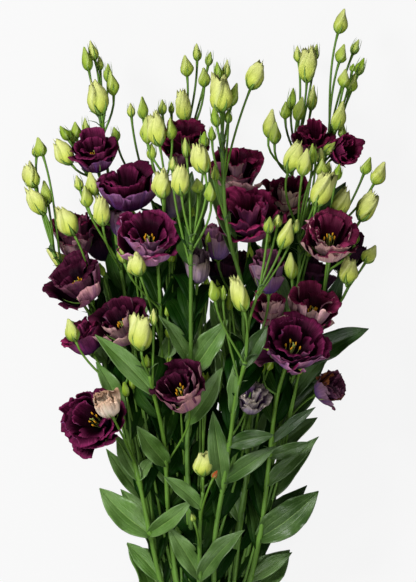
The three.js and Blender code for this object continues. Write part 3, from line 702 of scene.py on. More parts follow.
def bean_shape(piece):
    """A small plump bean, for anthers and the lobes of the stigma."""
    angle = TURN * np.arange(BEAN_SIDES) / BEAN_SIDES
    rings = [
        np.column_stack([radius * np.cos(angle), 0.6 * radius * np.sin(angle), np.full(BEAN_SIDES, height)])
        for height, radius in ((0.06, 0.3), (0.3, 0.5), (0.7, 0.5), (0.94, 0.3))
    ]
    add_loft(piece, rings, (0, 0, 0), (0, 0, 1), np.linspace(0, 1, 4)[:, None])


# What grows on one stem

# Shares across a leaf where its columns of points lie, close together at the midrib
LEAF_COLUMNS = np.array((-1, -0.8, -0.58, -0.34, -0.1, 0, 0.1, 0.34, 0.58, 0.8, 1))
LEAF_ROWS = 18


def add_leaf(piece, base, tip, width, arch, roll, thickness, chance, tone):
    """A leaf blade that clasps the stem, folded along its midrib and gently waved at its edges."""
    station, share = np.linspace(0, 1, LEAF_ROWS), LEAF_COLUMNS
    length = np.linalg.norm(tip - base)
    middle = 0.5 * (base + tip) + arch * UP
    rest = 1 - station[:, None]
    spine = rest**2 * base + 2 * rest * station[:, None] * middle + station[:, None] ** 2 * tip
    sway, curl = chance.uniform(-0.04, 0.04), chance.uniform(-0.05, 0.02)
    waves, phase = chance.uniform(1.2, 2.4), chance.uniform(*ANY_ANGLE)
    twist, fold = chance.uniform(-0.6, 0.6), chance.uniform(0.28, 0.66)
    grid = []
    for i, (t, point) in enumerate(zip(station, spine)):
        along = unit(spine[min(i + 1, LEAF_ROWS - 1)] - spine[max(i - 1, 0)])
        face = side_of(along, math.radians(roll) + twist * (t - 0.3))
        across = np.cross(along, face)
        half = 0.6 * width * np.interp(t, LEAF_STATIONS, LEAF_OUTLINE)
        wave = 0.32 * half * np.sin(TURN * (waves * t + 0.12 * np.sign(share)) + phase) * share**2
        clasp = 0.7 * half * max(0, 1 - t / 0.14) * share**2
        groove = 0.05 * half * np.exp(-((share / 0.08) ** 2))
        lift = fold * half * np.abs(share) ** 1.15 + wave + clasp - groove
        centre = point + across * sway * length * math.sin(math.pi * t) + face * curl * length * t**3
        grid.append(centre + np.outer(share * half, across) + np.outer(lift, face))
    add_sheet(piece, np.array(grid), thickness, 1, station[:, None], share[None, :], tone)


# Leaves that only the dressed bunch has, in the rows' own form
MORE_LEAVES = {
    "right": [(188, 108, 246, 78, 24, 6, -30), (262, 122, 316, 92, 18, 6, -25),
        (236, 112, 274, 86, 16, 4, -25), (98, 84, 138, 40, 20, 6, -20), (355, 138, 421, 92, 15, 4, -10),
        (288, 121, 332, 80, 18, 4, -15)],
    "right_upper": [(438, 141, 511, 84, 24, 4, -20)],
    "right_front": [(92, 85, 139, 44, 28, 6, -15)],
    "low_left": [(76, -79, 147, 54, 32, 6, 15)],
    "left_upper": [(92, -74, 142, 44, 22, 6, 20), (360, -104, 422, 62, 20, 4, 10)],
    "far_left": [(120, -66, 168, 60, 16, 6, 20), (328, -97, 414, 50, 24, 4, -10)],
    "back_left": [(300, 6, 376, 50, 26, 4, 10), (338, 2, 410, 58, 24, 4, -10), (316, -2, 342, 44, 22, 4, 10),
        (270, 12, 352, 46, 24, 4, 10), (418, -2, 474, 58, 22, 4, -10), (448, 4, 512, 56, 22, 4, 10),
        (462, -14, 522, 60, 20, 4, -5)],
    "back_right": [(384, 44, 452, 54, 26, 4, 10), (396, 60, 468, 56, 24, 4, -10)],
    "center": [(436, 6, 506, 92, 13, 4, 10), (455, 2, 528, 100, 13, 4, 10), (352, 12, 402, 88, 20, 4, 10),
        (258, 8, 348, 80, 24, 4, 10), (318, 4, 392, 84, 20, 4, 10)],
}

# The sides of the foliage at heights of the bunch
HULL_AT = (60, 110, 180, 240, 300, 350, 420, 480)
HULL_LEFT = (-42, -60, -64, -78, -88, -98, -112, -96)
HULL_RIGHT = (44, 66, 72, 80, 96, 110, 122, 110)

# Deep leaves: where they start and end up a stem, how much higher they start on the next stem, how far they
# stay from other leaves and from the stem's end, under which level the high ones stay, the steps between
# pairs low down and above the bend, and the ranges of turn, spread, length and width
DEEP_FROM, DEEP_TO, DEEP_STAGGER = 40, 510, 7
DEEP_CLEAR, DEEP_LAST = 7, 8
DEEP_HIGH, DEEP_HIGH_LEVEL = 452, 105
DEEP_BEND, DEEP_STEP_LOW, DEEP_STEP_HIGH = 270, (24, 38), (13, 20)
DEEP_TURN, DEEP_SPREAD, DEEP_LENGTH, DEEP_WIDTH = (80, 150), (14, 36), (48, 74), (14, 22)
# Their tips end over this level, and under the stem by at least this share of its own level
TIP_LEVEL, TIP_SINK = 6, 0.28

# Blooms under this level hide behind leaves, and leaves keep this far under the others
FRONT_LEVEL = 75
UNDER_BLOOM = 18

# Long shoots of a stem: where they may leave it, where they may end, and their radius
LONG_SHOOTS = (
    (32, 60, 300, 400, 1.9), (45, 90, 280, 390, 1.7), (60, 140, 300, 420, 1.5), (120, 220, 320, 470, 1.3),
    (150, 260, 380, 500, 1.2), (200, 300, 400, 520, 1.1),
)
# A stem that ends lower has none, and their heads stay this far inside the foliage and between these levels
SHOOTS_FROM = 280
SHOOT_CLEAR = 8
SHOOT_LEVELS = (14, 126)

# Buds that are rusty or crowned, by the X and Y of their bases, the width under which a bud is a small green
# one, the widths between which it ripens, and the radius of its seat
RUSTY_BUDS = ((7, 214),)
CROWNED_BUDS = ((-3, 216), (-64, 342), (15, 578), (109, 485))
SMALL_BUD = 11
RIPE_FROM, RIPE_TO = 10, 19
BUD_SEAT = 1.5

# Where a stem starts to thin, and how much thicker and how far along it is swollen at a joint
TAPER_FROM = 40
JOINT_SWELL, JOINT_REACH = 0.7, 4

# The shapes on a stem's points, in the order that they are added: rows, shape and finish
STEM_SHAPES = (
    ("deep", "blade", 4), ("bract", "blade", 1), ("ripe", "ripe", 2), ("full", "full", 2),
    ("firm", "firm", 2), ("crowned", "crowned", 2), ("green", "green", 2), ("sepals", "sepals", 3),
    ("spikes", "spikes", 3), ("collar", "collar", 3),
)


def hull(y):
    return np.interp(y, HULL_AT, HULL_LEFT), np.interp(y, HULL_AT, HULL_RIGHT)


def hides(point, aim, length, middles):
    """Whether a leaf would stand in front of a bloom."""
    spots = [point + share * length * aim for share in (0.3, 0.6, 0.95)]
    return any(
        spot[2] > middle[2] - UNDER_BLOOM and np.linalg.norm(spot[:2] - middle[:2]) < reach
        for spot in spots for middle, reach in middles
    )


def deep_leaves(line, number, taken, middles, chance):
    """Rows of plain leaves in opposite pairs up a stem, in the depth of the bunch."""
    rows = []
    y = DEEP_FROM + DEEP_STAGGER * (number % 5)
    while y < min(line[-1][1] - DEEP_LAST, DEEP_TO):
        if all(abs(y - other) > DEEP_CLEAR for other in taken):
            point, along = at_y(line, y)
            for sign in (1, -1):
                out = side_of(along, sign * math.radians(chance.uniform(*DEEP_TURN)))
                spread = math.radians(chance.uniform(*DEEP_SPREAD))
                length, width = chance.uniform(*DEEP_LENGTH), chance.uniform(*DEEP_WIDTH)
                aim = unit(along * math.cos(spread) + out * math.sin(spread))
                left, right = hull(point[1] + length)
                if not left < (point + aim * length)[0] < right:
                    aim = unit(aim * vec(-0.3, 1, 1))
                aim[2] = np.clip(aim[2], (TIP_LEVEL - point[2]) / length, -TIP_SINK * point[2] / length)
                aim[1] = max(aim[1], 0.3)
                aim = unit(aim)
                face = side_of(aim, chance.uniform(-0.7, 0.7))
                # A low tone, with the shaded leaf green of little gloss, paints these leaves in shade
                shade = chance.uniform(0, 0.3)
                if not hides(point, aim, length, middles) and (y < DEEP_HIGH or point[2] < DEEP_HIGH_LEVEL):
                    rows.append((point, aim, face, width, length, shade))
        y += chance.uniform(*(DEEP_STEP_LOW if y < DEEP_BEND else DEEP_STEP_HIGH))
    return rows


def deep_shoots(line, chance):
    """Slender shoots that rise beside a stem and end in small buds behind the blooms."""
    made = []
    for low, high, lowest, highest, thick in LONG_SHOOTS if line[-1][1] >= SHOOTS_FROM else ():
        start, along = at_y(line, chance.uniform(low, high))
        top, ahead = at_y(line, min(chance.uniform(lowest, highest), line[-1][1]))
        side = side_of(ahead, chance.choice((1, -1)) * math.radians(chance.uniform(45, 110)))
        top = top + side * chance.uniform(9, 26)
        left, right = hull(top[1])
        top[0] = np.clip(top[0], left + SHOOT_CLEAR, right - SHOOT_CLEAR)
        top[2] = np.clip(top[2], *SHOOT_LEVELS)
        bend = vec(chance.uniform(-4, 4), 0, chance.uniform(-2, 4)) + 7 * unit(top - start - along * 100)
        path = smooth_line([start, start + 0.35 * (top - start) + bend, top], 8)
        made.append((path, unit(path[-1] - path[-3]), thick, chance.uniform(11, 16), chance.uniform(6, 8)))
    return made


def stem_line(slot, path, foot_radius):
    """The middle line of a stem: from its cut end, through its place in the tie and along its row's path."""
    inner = slot >= OUTER_STEMS
    turn = TURN * (INNER_PLACES[slot - OUTER_STEMS] if inner else slot) / OUTER_STEMS
    ring = TIE_INNER - GAP - foot_radius - (2 * foot_radius + GAP + 0.1 if inner else 0)
    outward = vec(math.sin(turn), 0, math.cos(turn))
    held = ring * outward + TIE_CENTRE * UP
    foot = held + 0.6 * outward + vec(0, -CUT_LENGTH + 7 * math.sin(3 * slot), 0)
    waist = vec(0, TIE_WIDTH, 0)
    line = smooth_line([foot, held - waist, held + waist, *path], STEM_STEP)
    tied = line[:, 1] < TIE_WIDTH + 5
    line[tied, 2] = np.minimum(line[tied, 2], held[2] + 0.5)
    return line


def add_stem_piece(name, row, number, middles, settings, trees, shapes, finishes):
    """One stem with everything that grows on it, as one piece."""
    chance = random.Random(100 + number)
    stem = settings.stem
    foot_radius, head_radius = stem.foot / MM, stem.head / MM
    lines, rows = [], {kind: [] for kind, _, _ in STEM_SHAPES}

    line = stem_line(row["slot"], row["path"], foot_radius)
    taper = (line[:, 1] - TAPER_FROM) / (line[-1, 1] - TAPER_FROM) * (head_radius - foot_radius)
    radii = np.clip(foot_radius + taper, 0, foot_radius)
    joints = [entry[0] for entry in row.get("leaves", ())]
    joints += [shoot["start"] for shoot in row.get("shoots", ())]
    for joint in joints:
        radii = radii + JOINT_SWELL * np.exp(-(((line[:, 1] - joint) / JOINT_REACH) ** 2))
    lines.append((line, radii, np.linspace(0, 0.7, len(line)), chance.random()))
    rows["deep"] = deep_leaves(line, number, joints, middles, chance)
    for path, aim, thick, length, width in deep_shoots(line, chance):
        count = len(path)
        lines.append((path, np.linspace(thick, 1.0, count), np.linspace(0.25, 0.8, count), chance.random()))
        rows["green"].append((path[-1], aim, side_of(aim, chance.uniform(0, 6)), width, length, 0.2))

    def add_bud(seat, place, length, width, small):
        if small or width < SMALL_BUD:
            tone = -1.0 if place in RUSTY_BUDS else chance.uniform(0.2, 0.7)
            rows["green"].append((*seat, width, length, tone))
            calyx, longer = "spikes", chance.uniform(0.9, 1.15)
        else:
            ripe = np.clip((width - RIPE_FROM) / (RIPE_TO - RIPE_FROM), 0, 1)
            shape = chance.choice(("ripe", "full")) if ripe > 0.6 else "firm"
            shape = "crowned" if place in CROWNED_BUDS else shape
            rows[shape].append((*seat, width, length, 0.35 + 0.6 * ripe))
            calyx, longer = "sepals", chance.uniform(0.4, 0.55)
        rows[calyx].append((*seat, width, length * longer, chance.uniform(0.2, 0.8)))

    def add_heads(path, group):
        """The heads of one shoot on their stalks, and the bracts at every other fork."""
        top, forks = path[-1][1] - 1, []
        entries = [("bud", "", *entry) for entry in group.get("buds", ())]
        entries += [("bloom", title, *entry) for title, entry in group.get("blooms", {}).items()]
        entries += [("small", "", *entry) for entry in group.get("small", ())]
        for kind, title, x, y, z, *entry in entries:
            if kind == "bloom":
                lean, rise, span, depth, _, _, *start = entry
                base, aim, depth, *_ = shown_axis(title, vec(x, y, z), lean, rise, depth)
            else:
                length, width, lean, *start = entry
                base, aim = vec(x, y, z), pointing(lean, BUD_RISE)
            if not start:
                start, top = [top], top - FORK_STEP
            point, along = at_y(path, start[0])
            forks.append((point, along, base))
            stalk = stalk_line(point, along, base, aim)
            thick = np.full(len(stalk), stem.stalk / MM)
            thick[-1] = stem.seat / MM * 0.8 if kind == "bloom" else BUD_SEAT
            lines.append((stalk, thick, np.linspace(0.55, 1, len(stalk)), chance.random()))
            face = side_of(aim, chance.uniform(*ANY_ANGLE))
            if kind == "bloom":
                tone = chance.uniform(0.3, 0.7)
                rows["collar"].append((base - 1.5 * aim, aim, face, 0.5 * span, depth, tone))
            else:
                add_bud((base, aim, face), (x, y), length, width, kind == "small")
        for point, along, base in forks[::2]:
            out = square_to(base - point + 0.01 * UP, along)
            for sign in (1, -1):
                aim = unit(along + 0.55 * sign * out)
                width, length = chance.uniform(3.2, 5.5), chance.uniform(11, 20)
                rows["bract"].append((point, aim, square_to(-sign * out, aim), width, length, 0.5))

    add_heads(line, row)
    for shoot in row.get("shoots", ()):
        path = smooth_line([at_y(line, shoot["start"])[0], *shoot["path"]], STEM_STEP)
        lines.append((path, stem.shoot / MM, np.linspace(0.5, 0.9, len(path)), chance.random()))
        add_heads(path, shoot)

    piece = Piece()
    piece.take(tubes(lines, trees["tube"], STEM_SIDES, finishes[0]), 0)
    thickness = settings.leaf.thickness / MM
    for start, x, y, z, width, arch, roll in (*row.get("leaves", ()), *MORE_LEAVES.get(name, ())):
        # Painted light and shade: leaves further to the right, away from the key lamp, get a lower tone and
        # so a darker green, with some at random
        lit = np.clip(0.7 - 0.0031 * x + chance.uniform(-0.14, 0.14), 0.25, 1)
        add_leaf(piece, at_y(line, start)[0], vec(x, y, z), width, arch, roll, thickness, chance, lit)
    for kind, shape, finish in STEM_SHAPES:
        if rows[kind]:
            piece.take(heads(rows[kind], trees["head"], shapes[shape], finishes[finish]), finish)
    piece.object("leafy_" + name, finishes, "stem_" + name)


# The blooms

# How each bloom is shown within its solid: the rise of its axis, its depth and its ruffle as times, how pale
# its outside is, its width as times, how far it is moved in X and Y, and its colours
SHOWN = {
    "violet_side": (10, 1.0, 0.9, 0.3, 1.0, 0, 0, "mauve"),
    "beige_side": (32, 1.05, 1.1, 0.8, 1.0, 0, 0, "tan"),
    "wilted_closed": (16, 1.0, 1.5, 0.5, 1.0, 0, 0, "dusk"),
    "front_left_open": (40, 1.2, 1.1, 0.8, 1.0, 0, 0, "wine"),
    "far_left_open": (50, 1.1, 1.1, 0.4, 0.94, 1, 4, "plum"),
    "wilted_cream": (33, 0.9, 1.4, 0.9, 1.04, 0, -1, "cream"),
    "left_low": (10, 1.0, 1.0, 0.4, 1.0, 3, 1, "crimson"),
    "left_red": (25, 1.0, 1.2, 0.8, 0.91, 0, 0, "umber"),
    "main_front": (43, 1.0, 1.0, 0.5, 1.01, -4, -1, "plum"),
    "right_low": (24, 0.85, 1.6, 0.4, 0.82, -4, 6, "mauve"),
    "right_pink": (29, 1.0, 1.4, 1.0, 0.92, 0, -2, "rose"),
    "right_open": (40, 1.32, 1.3, 1.0, 1.0, 0, 0, "rose"),
    "top_right": (34, 0.98, 1.3, 0.15, 0.86, 1, -2, "tan"),
    "far_right": (52, 0.92, 1.4, 0.3, 1.0, -4, -2, "crimson"),
    "behind_right": (30, 1.0, 1.2, 1.0, 1.0, 0, 0, "beige"),
    "rest_right": (0, 1.0, 1.0, 0.4, 0.9, -6, 0, "deep"),
    "under_right": (5, 1.0, 1.0, 0.4, 1.0, 0, 0, "deep"),
    "lavender_small": (34, 0.95, 2.0, 0.8, 1.06, 0, 0, "lilac"),
    "magenta_cup": (36, 1.0, 1.4, 0.6, 1.15, -1, 3, "crimson"),
    "center_cup": (36, 1.0, 1.3, 0.6, 0.92, -3, -2, "tan"),
    "center_side": (10, 1.0, 1.0, 0.4, 1.0, 0, 0, "mauve"),
    "front_center_open": (38, 1.36, 1.2, 1.0, 1.0, 0, -3, "plum"),
    "left_cup": (27, 1.0, 0.9, 0.0, 1.0, 0, 0, "plum"),
    "brown_closed": (10, 1.0, 1.0, 0.4, 1.0, 0, 0, "mauve"),
    "center_ruffled": (34, 1.0, 1.2, 0.1, 1.0, 0, 0, "tan"),
    "grey_side": (10, 1.0, 1.0, 0.4, 1.0, 0, 0, "dusk"),
    "under_left": (5, 1.0, 1.0, 0.4, 1.0, 0, 0, "deep"),
    "under_center": (5, 1.0, 1.0, 0.4, 1.0, 0, 0, "deep"),
    "upper_left_cup": (24, 0.98, 1.1, 0.1, 0.95, 0, 0, "plum"),
    "left_big": (21, 0.92, 1.3, 0.36, 1.0, 7, 5, "wine"),
    "rest_left": (0, 1.0, 1.0, 0.4, 1.0, 0, 0, "deep"),
    "left_mauve": (20, 1.0, 1.0, 0.4, 1.0, 0, 0, "tan"),
}
# A petal that hangs out of a bloom: its turn round the bloom, its reach, its finish and its tone
STRAY_PETALS = {"main_front": (-1.24, 19, 3, 0.9), "far_left_open": (-1.75, 29, 0, 0.4)}
STRAY_LINE = [(0.07, 0), (0.5, 0.06), (0.86, 0.16), (1.1, 0.22), (1.26, 0.24), (1.38, 0.2)]
STRAY_RUFFLE = 0.07
# The colours of a bloom's fourth finish, where it has one, and the bloom whose petals are partly rusty
FOURTH_COLOURS = {"main_front": "mauve", "right_low": "rust"}
RUSTY_BLOOM = "right_low"
CUPPED = ("lavender_small", "left_cup", "magenta_cup")

# Three layers of petals. Each is how many petals, how far they are turned, how far a petal reaches to each
# side in degrees, and its line from throat to rim as shares of the rim's radius and the depth
LAYERS = {
    "open": (
        (5, 0, 51, [
            (0.07, 0), (0.42, 0.07), (0.72, 0.24), (0.87, 0.47), (0.96, 0.7), (1.04, 0.86), (1.11, 0.92)]),
        (5, 36, 53, [
            (0.05, 0.05), (0.34, 0.18), (0.58, 0.4), (0.74, 0.66), (0.86, 0.89), (0.94, 1.0), (0.99, 1.03)]),
        (3, 10, 64, [
            (0.04, 0.08), (0.2, 0.24), (0.38, 0.48), (0.53, 0.72), (0.62, 0.86), (0.68, 0.92)]),
    ),
    "cup": (
        (5, 0, 51, [
            (0.09, 0), (0.48, 0.07), (0.78, 0.26), (0.91, 0.5), (0.99, 0.68), (1.07, 0.79), (1.14, 0.82)]),
        (5, 36, 53, [
            (0.05, 0.06), (0.4, 0.24), (0.64, 0.52), (0.78, 0.8), (0.88, 0.97), (0.95, 1.02)]),
        (3, 10, 66, [
            (0.04, 0.08), (0.26, 0.34), (0.44, 0.68), (0.56, 0.96), (0.63, 1.08), (0.68, 1.1)]),
    ),
    "shut": (
        (5, 0, 48, [
            (0.1, 0), (0.5, 0.1), (0.82, 0.34), (0.86, 0.6), (0.76, 0.84), (0.64, 0.98), (0.62, 1.03)]),
        (5, 36, 52, [
            (0.05, 0.08), (0.38, 0.34), (0.54, 0.66), (0.46, 0.92), (0.36, 1.02)]),
        (3, 10, 68, [
            (0.04, 0.1), (0.2, 0.4), (0.3, 0.7), (0.26, 0.9), (0.2, 0.97)]),
    ),
}
# How much lower the petals are that face the eye, and how strongly the rims are ruffled, in each layer
LOWERED = {"open": (0.34, 0.3, 0.16), "cup": (0.18, 0.14, 0.06), "shut": (0.04, 0, 0)}
RUFFLE = {"open": (0.13, 0.1, 0.09), "cup": (0.12, 0.13, 0.13), "shut": (0.13, 0.14, 0.14)}
# In each layer, how much of a rim's wave is slow, quick, fine and ragged, how far its corners turn out, and
# how much of the wave is kept towards the axis and away from it
WAVES = (
    (0.95, 0.5, 0.22, 0.006, 1.7, 0.45, 1.3), (0.9, 0.55, 0.34, 0.01, 1.0, 0.75, 0.6),
    (0.8, 0.65, 0.46, 0.014, 0.3, 1.0, 0.5),
)
PETAL_ROWS, PETAL_COLUMNS = 13, 25


def shown_axis(name, base, lean, rise, depth):
    """A bloom's seat, direction, depth, ruffle, paleness and width. Its middle stays where the solid's is."""
    shown, deeper, ruffle, pale, wide, x, y, _ = SHOWN[name]
    solid, direction = pointing(lean, rise), pointing(lean, shown)
    base = base + vec(x, y, 0) + 0.5 * depth * (solid - deeper * direction)
    return base, direction, depth * deeper, ruffle, pale, wide


def profile(line, reached, rim, depth):
    """Radius and height at shares of a petal line's length, and the line's side that faces the axis."""
    smooth = smooth_line([(100 * r, 100 * z) for r, z in line], FINE_STEP) / 100
    length = np.concatenate([[0], np.cumsum(np.linalg.norm(np.diff(smooth, axis=0), axis=1))])
    length /= length[-1]
    slope = np.gradient(smooth * vec(rim, depth), axis=0)
    slope /= np.linalg.norm(slope, axis=1, keepdims=True)
    read = lambda numbers: np.interp(reached, length, numbers)
    return read(smooth[:, 0]) * rim, read(smooth[:, 1]) * depth, -read(slope[:, 1]), read(slope[:, 0])


def add_petal(
    piece, place, line, rim, depth, turn, reach, ruffle, waves, petal, finish, chance, tone, under=0.0,
):
    """A petal: smooth at its foot, fluted and ruffled towards its rim, with one side over its neighbour."""
    station = np.linspace(0, 1, PETAL_ROWS)[:, None]
    share = np.linspace(1, -1, PETAL_COLUMNS)[None, :]
    away = np.abs(share)
    ragged = np.array([chance.uniform(-1, 1) for _ in range(PETAL_COLUMNS)])[None, :]
    ragged = (2 * ragged + np.roll(ragged, 1)) / 3
    slow_part, quick_part, fine_part, ragged_part, corner_part, inward_part, outward_part = waves
    dip = petal.notch * away ** 2.6 + 0.02 * np.exp(-((share / 0.2) ** 2)) + ragged_part * ragged
    radius, height, inward, up = profile(line, station * (1 - dip * ease(station, 0.3, 1)), rim, depth)

    slow, quick, fine = chance.uniform(0.7, 1.3), chance.uniform(2.4, 3.8), chance.uniform(5.0, 7.0)
    phase = [chance.uniform(*ANY_ANGLE) for _ in range(5)]
    late, last = ease(station, 0.35, 1), ease(station, 0.72, 1)
    ripple = lambda times, k: np.sin(3.14 * times * share + phase[k])
    wave = slow_part * ripple(slow, 0) * late
    wave = wave + quick_part * ripple(quick, 1) * ease(station, 0.45, 1) * (0.5 + 0.5 * away)
    wave = wave + fine_part * ripple(fine, 2) * last
    wave = wave + 0.14 * np.sin(8.8 * station + phase[3] + 2 * share) * late
    for _ in range(2):
        crease, sharp = chance.uniform(-0.75, 0.75), chance.uniform(0.1, 0.2)
        fold = chance.uniform(-1.3, 1.3) * np.exp(-np.abs(share - crease) / sharp)
        wave = wave + quick_part * fold * ease(station, 0.2, 0.8)
    corners = np.where(share > 0, chance.uniform(0, 1), chance.uniform(0, 1)) * away ** 3
    wave = wave - corner_part * corners * ease(station, 0.4, 1)
    push = ruffle * rim * wave * np.where(wave > 0, inward_part, outward_part)

    spread = math.radians(reach) * (0.62 + 0.38 * ease(station, 0, 0.45)) * (1 - 0.08 * last)
    sway = 0.06 * last * ripple(quick, 4) + 0.03 * last * ripple(fine, 3)
    angle = turn + share * spread + 0.12 * station + sway
    radius = radius * (1 + 0.04 * (0.4 - share**2) * late)
    radius = radius + petal.overlap * rim * share * ease(station, 0.1, 0.5)
    grid = place(np.maximum(radius + push * inward, 0.4), height + push * up, angle)
    add_sheet(piece, grid, petal.thickness / MM * (1.5 - 0.9 * station), finish, station, share, tone, under)


def add_bloom_piece(name, entry, number, settings, trees, shapes, finishes):
    """One bloom: its layers of petals and, where it is open, its stamens and pistil."""
    chance = random.Random(500 + number)
    x, y, z, lean, rise, span, depth, kind, skin = entry[:9]
    kind = "cup" if name in CUPPED else kind
    base, direction, depth, ruffle, pale, times = shown_axis(name, vec(x, y, z), lean, rise, depth)
    base = base + GAP * direction
    side = square_to(UP, direction)
    out = np.cross(direction, side)
    rim = 0.45 * span * times

    def place(radius, height, angle):
        parts = ((height, direction), (radius * np.cos(angle), side), (radius * np.sin(angle), out))
        return base + sum(reach[..., None] * axis for reach, axis in parts)

    piece = Piece()
    start = chance.uniform(*ANY_ANGLE)
    loose = chance.randrange(5)
    towards_eye = unit(vec(0, -1, 1))
    for layer, (count, shift, reach, line) in enumerate(LAYERS[kind]):
        for k in range(count):
            turn = start + math.radians(shift) + TURN * k / count + chance.uniform(-0.1, 0.1)
            facing = float(np.dot(math.cos(turn) * side + math.sin(turn) * out, towards_eye))
            front, behind = max(0, facing), max(0, -facing)
            wide = 1 + chance.uniform(-0.17, 0.11) - 0.04 * front
            tall = 1 + chance.uniform(-0.22, 0.07) - LOWERED[kind][layer] * front + 0.06 * behind
            flop = chance.uniform(-0.09, 0.16) * (1 - 0.6 * front)
            if layer == 0 and k == loose and kind == "open":
                flop += 0.05 * (1 - front)
            shape = [(r * wide, h * tall) for r, h in line]
            # The last two points of the line flop outwards
            for i in (1, 2):
                r, h = shape[i - 3]
                shape[i - 3] = (r + i * flop, h - 0.5 * i * flop)
            rusty = name == RUSTY_BLOOM and layer < 2 and k in (0, 3)
            # Painted light and shade: petals that face the eye get a higher tone, so the pale outside and a
            # lighter shade; those that face away get the darker outside
            tone = pale * (0.4 + 0.6 * min(1, 2 * front)) + chance.uniform(-0.2, 0.2)
            add_petal(
                piece, place, shape, rim, depth, turn, reach,
                RUFFLE[kind][layer] * settings.petal.ruffle * ruffle, WAVES[layer], settings.petal,
                3 if rusty else 0, chance, np.clip(tone, 0, 1), 0.3 + 0.4 * (1 - pale) if layer else 0.0,
            )
    if name in STRAY_PETALS:
        turn, reach, finish, tone = STRAY_PETALS[name]
        add_petal(
            piece, place, STRAY_LINE, rim, depth, turn, reach, STRAY_RUFFLE, WAVES[0], settings.petal, finish,
            chance, tone,
        )
    if kind == "open":
        add_stamens(piece, place, direction, rim, depth, chance, trees, shapes["bean"], finishes)
    piece.object("petals_" + name, finishes, "bloom_" + name)


def add_stamens(piece, place, direction, rim, depth, chance, trees, bean, finishes):
    """Five pale filaments with yellow anthers round a pistil with a two-lobed stigma."""
    spot = lambda radius, height, angle: place(np.array(radius), np.array(height), np.array(angle))
    filaments, anthers, lobes = [], [], []
    for k in range(5):
        angle = TURN * k / 5 + chance.uniform(-0.3, 0.3)
        high = depth * chance.uniform(0.5, 0.62)
        radius = rim * chance.uniform(0.15, 0.25)
        knee, top = spot(0.7 * radius, 0.5 * high, angle), spot(radius, high, angle)
        line = smooth_line([spot(1.2, 0.1 * depth, angle), knee, top], FINE_STEP)
        filaments.append((line, 0.35, np.linspace(0, 1, len(line)), 0.5))
        stray = vec(chance.uniform(-0.5, 0.5), chance.uniform(-0.5, 0.5), 0.2)
        aim = unit(direction + 0.8 * unit(top - knee) + stray)
        face = square_to(UP + 0.1 * direction, aim)
        anthers.append((top - 1.8 * aim, aim, face, 3.1, 4.8, chance.random()))
    axis = smooth_line([spot(0, share * depth, 0) for share in (0.05, 0.4, 0.62)], FINE_STEP)
    filaments.append((axis, 0.9, np.linspace(0, 1, len(axis)), 0.9))
    for angle in (0.6, 0.6 + math.pi):
        aim = unit(spot(1, 1, angle) - spot(0, 0.4, angle))
        lobes.append((axis[-1] - 0.8 * aim, aim, square_to(UP, aim), 2.4, 3.6, 0.5))
    piece.take(tubes(filaments, trees["tube"], FILAMENT_SIDES, finishes[2]), 2)
    piece.take(heads(lobes, trees["head"], bean, finishes[2]), 2)
    piece.take(heads(anthers, trees["head"], bean, finishes[1]), 1)


# The tie

def add_tie(finish):
    """An elastic band: an evenly rounded strip round the whole bundle, with a shallow waist in its middle."""
    around, count = 96, 20
    rounded = lambda value, power: np.sign(value) * abs(value) ** power
    angle = TURN * np.arange(count) / count
    across = rounded(np.cos(angle), 0.35)
    waist = 1 - 0.12 * np.exp(-((across / 0.3) ** 2))
    thick = 0.5 * TIE_THICKNESS * 0.94 * rounded(np.sin(angle), 0.6) * waist
    radius = TIE_INNER + 0.5 * TIE_THICKNESS + thick
    turn = TURN * np.arange(around)[:, None] / around
    wide = np.broadcast_to(0.5 * TIE_WIDTH * across, (around, count))
    grid = np.stack([radius * np.sin(turn), wide, TIE_CENTRE + radius * np.cos(turn)], axis=-1)
    at = lambda i, k: (i % around) * count + k % count
    faces = [
        [at(i, k), at(i, k + 1), at(i + 1, k + 1), at(i + 1, k)] for i in range(around) for k in range(count)
    ]
    piece = Piece()
    along = np.repeat(np.arange(around) / around, count)
    piece.add(grid, faces, 0, across=np.tile(across, around), along=along)
    piece.object("tie_band", [finish], "tie")


# Finishes

def tint(code):
    """A colour as Blender wants it, from the usual six digits."""
    channels = [int(code[i:i + 2], 16) / 255 for i in (1, 3, 5)]
    return (*[c / 12.92 if c <= 0.04045 else ((c + 0.055) / 1.055) ** 2.4 for c in channels], 1.0)


def lighter(colour, times):
    return (*[min(1.0, c * times) for c in colour[:3]], 1.0)


class Value:
    """A number that varies over a surface. Python's operators add the nodes that work it out."""

    def __init__(self, finish, socket):
        self.finish, self.socket = finish, socket

    def maths(self, operation, first, second=0.0):
        return self.finish.node("ShaderNodeMath", {"operation": operation}, {0: first, 1: second})

    def __add__(self, other):
        return self.maths("ADD", self, other)

    def __sub__(self, other):
        return self.maths("SUBTRACT", self, other)

    def __rsub__(self, other):
        return self.maths("SUBTRACT", other, self)

    def __mul__(self, other):
        return self.maths("MULTIPLY", self, other)

    def __abs__(self):
        return self.maths("ABSOLUTE", self)

    __radd__, __rmul__ = __add__, __mul__


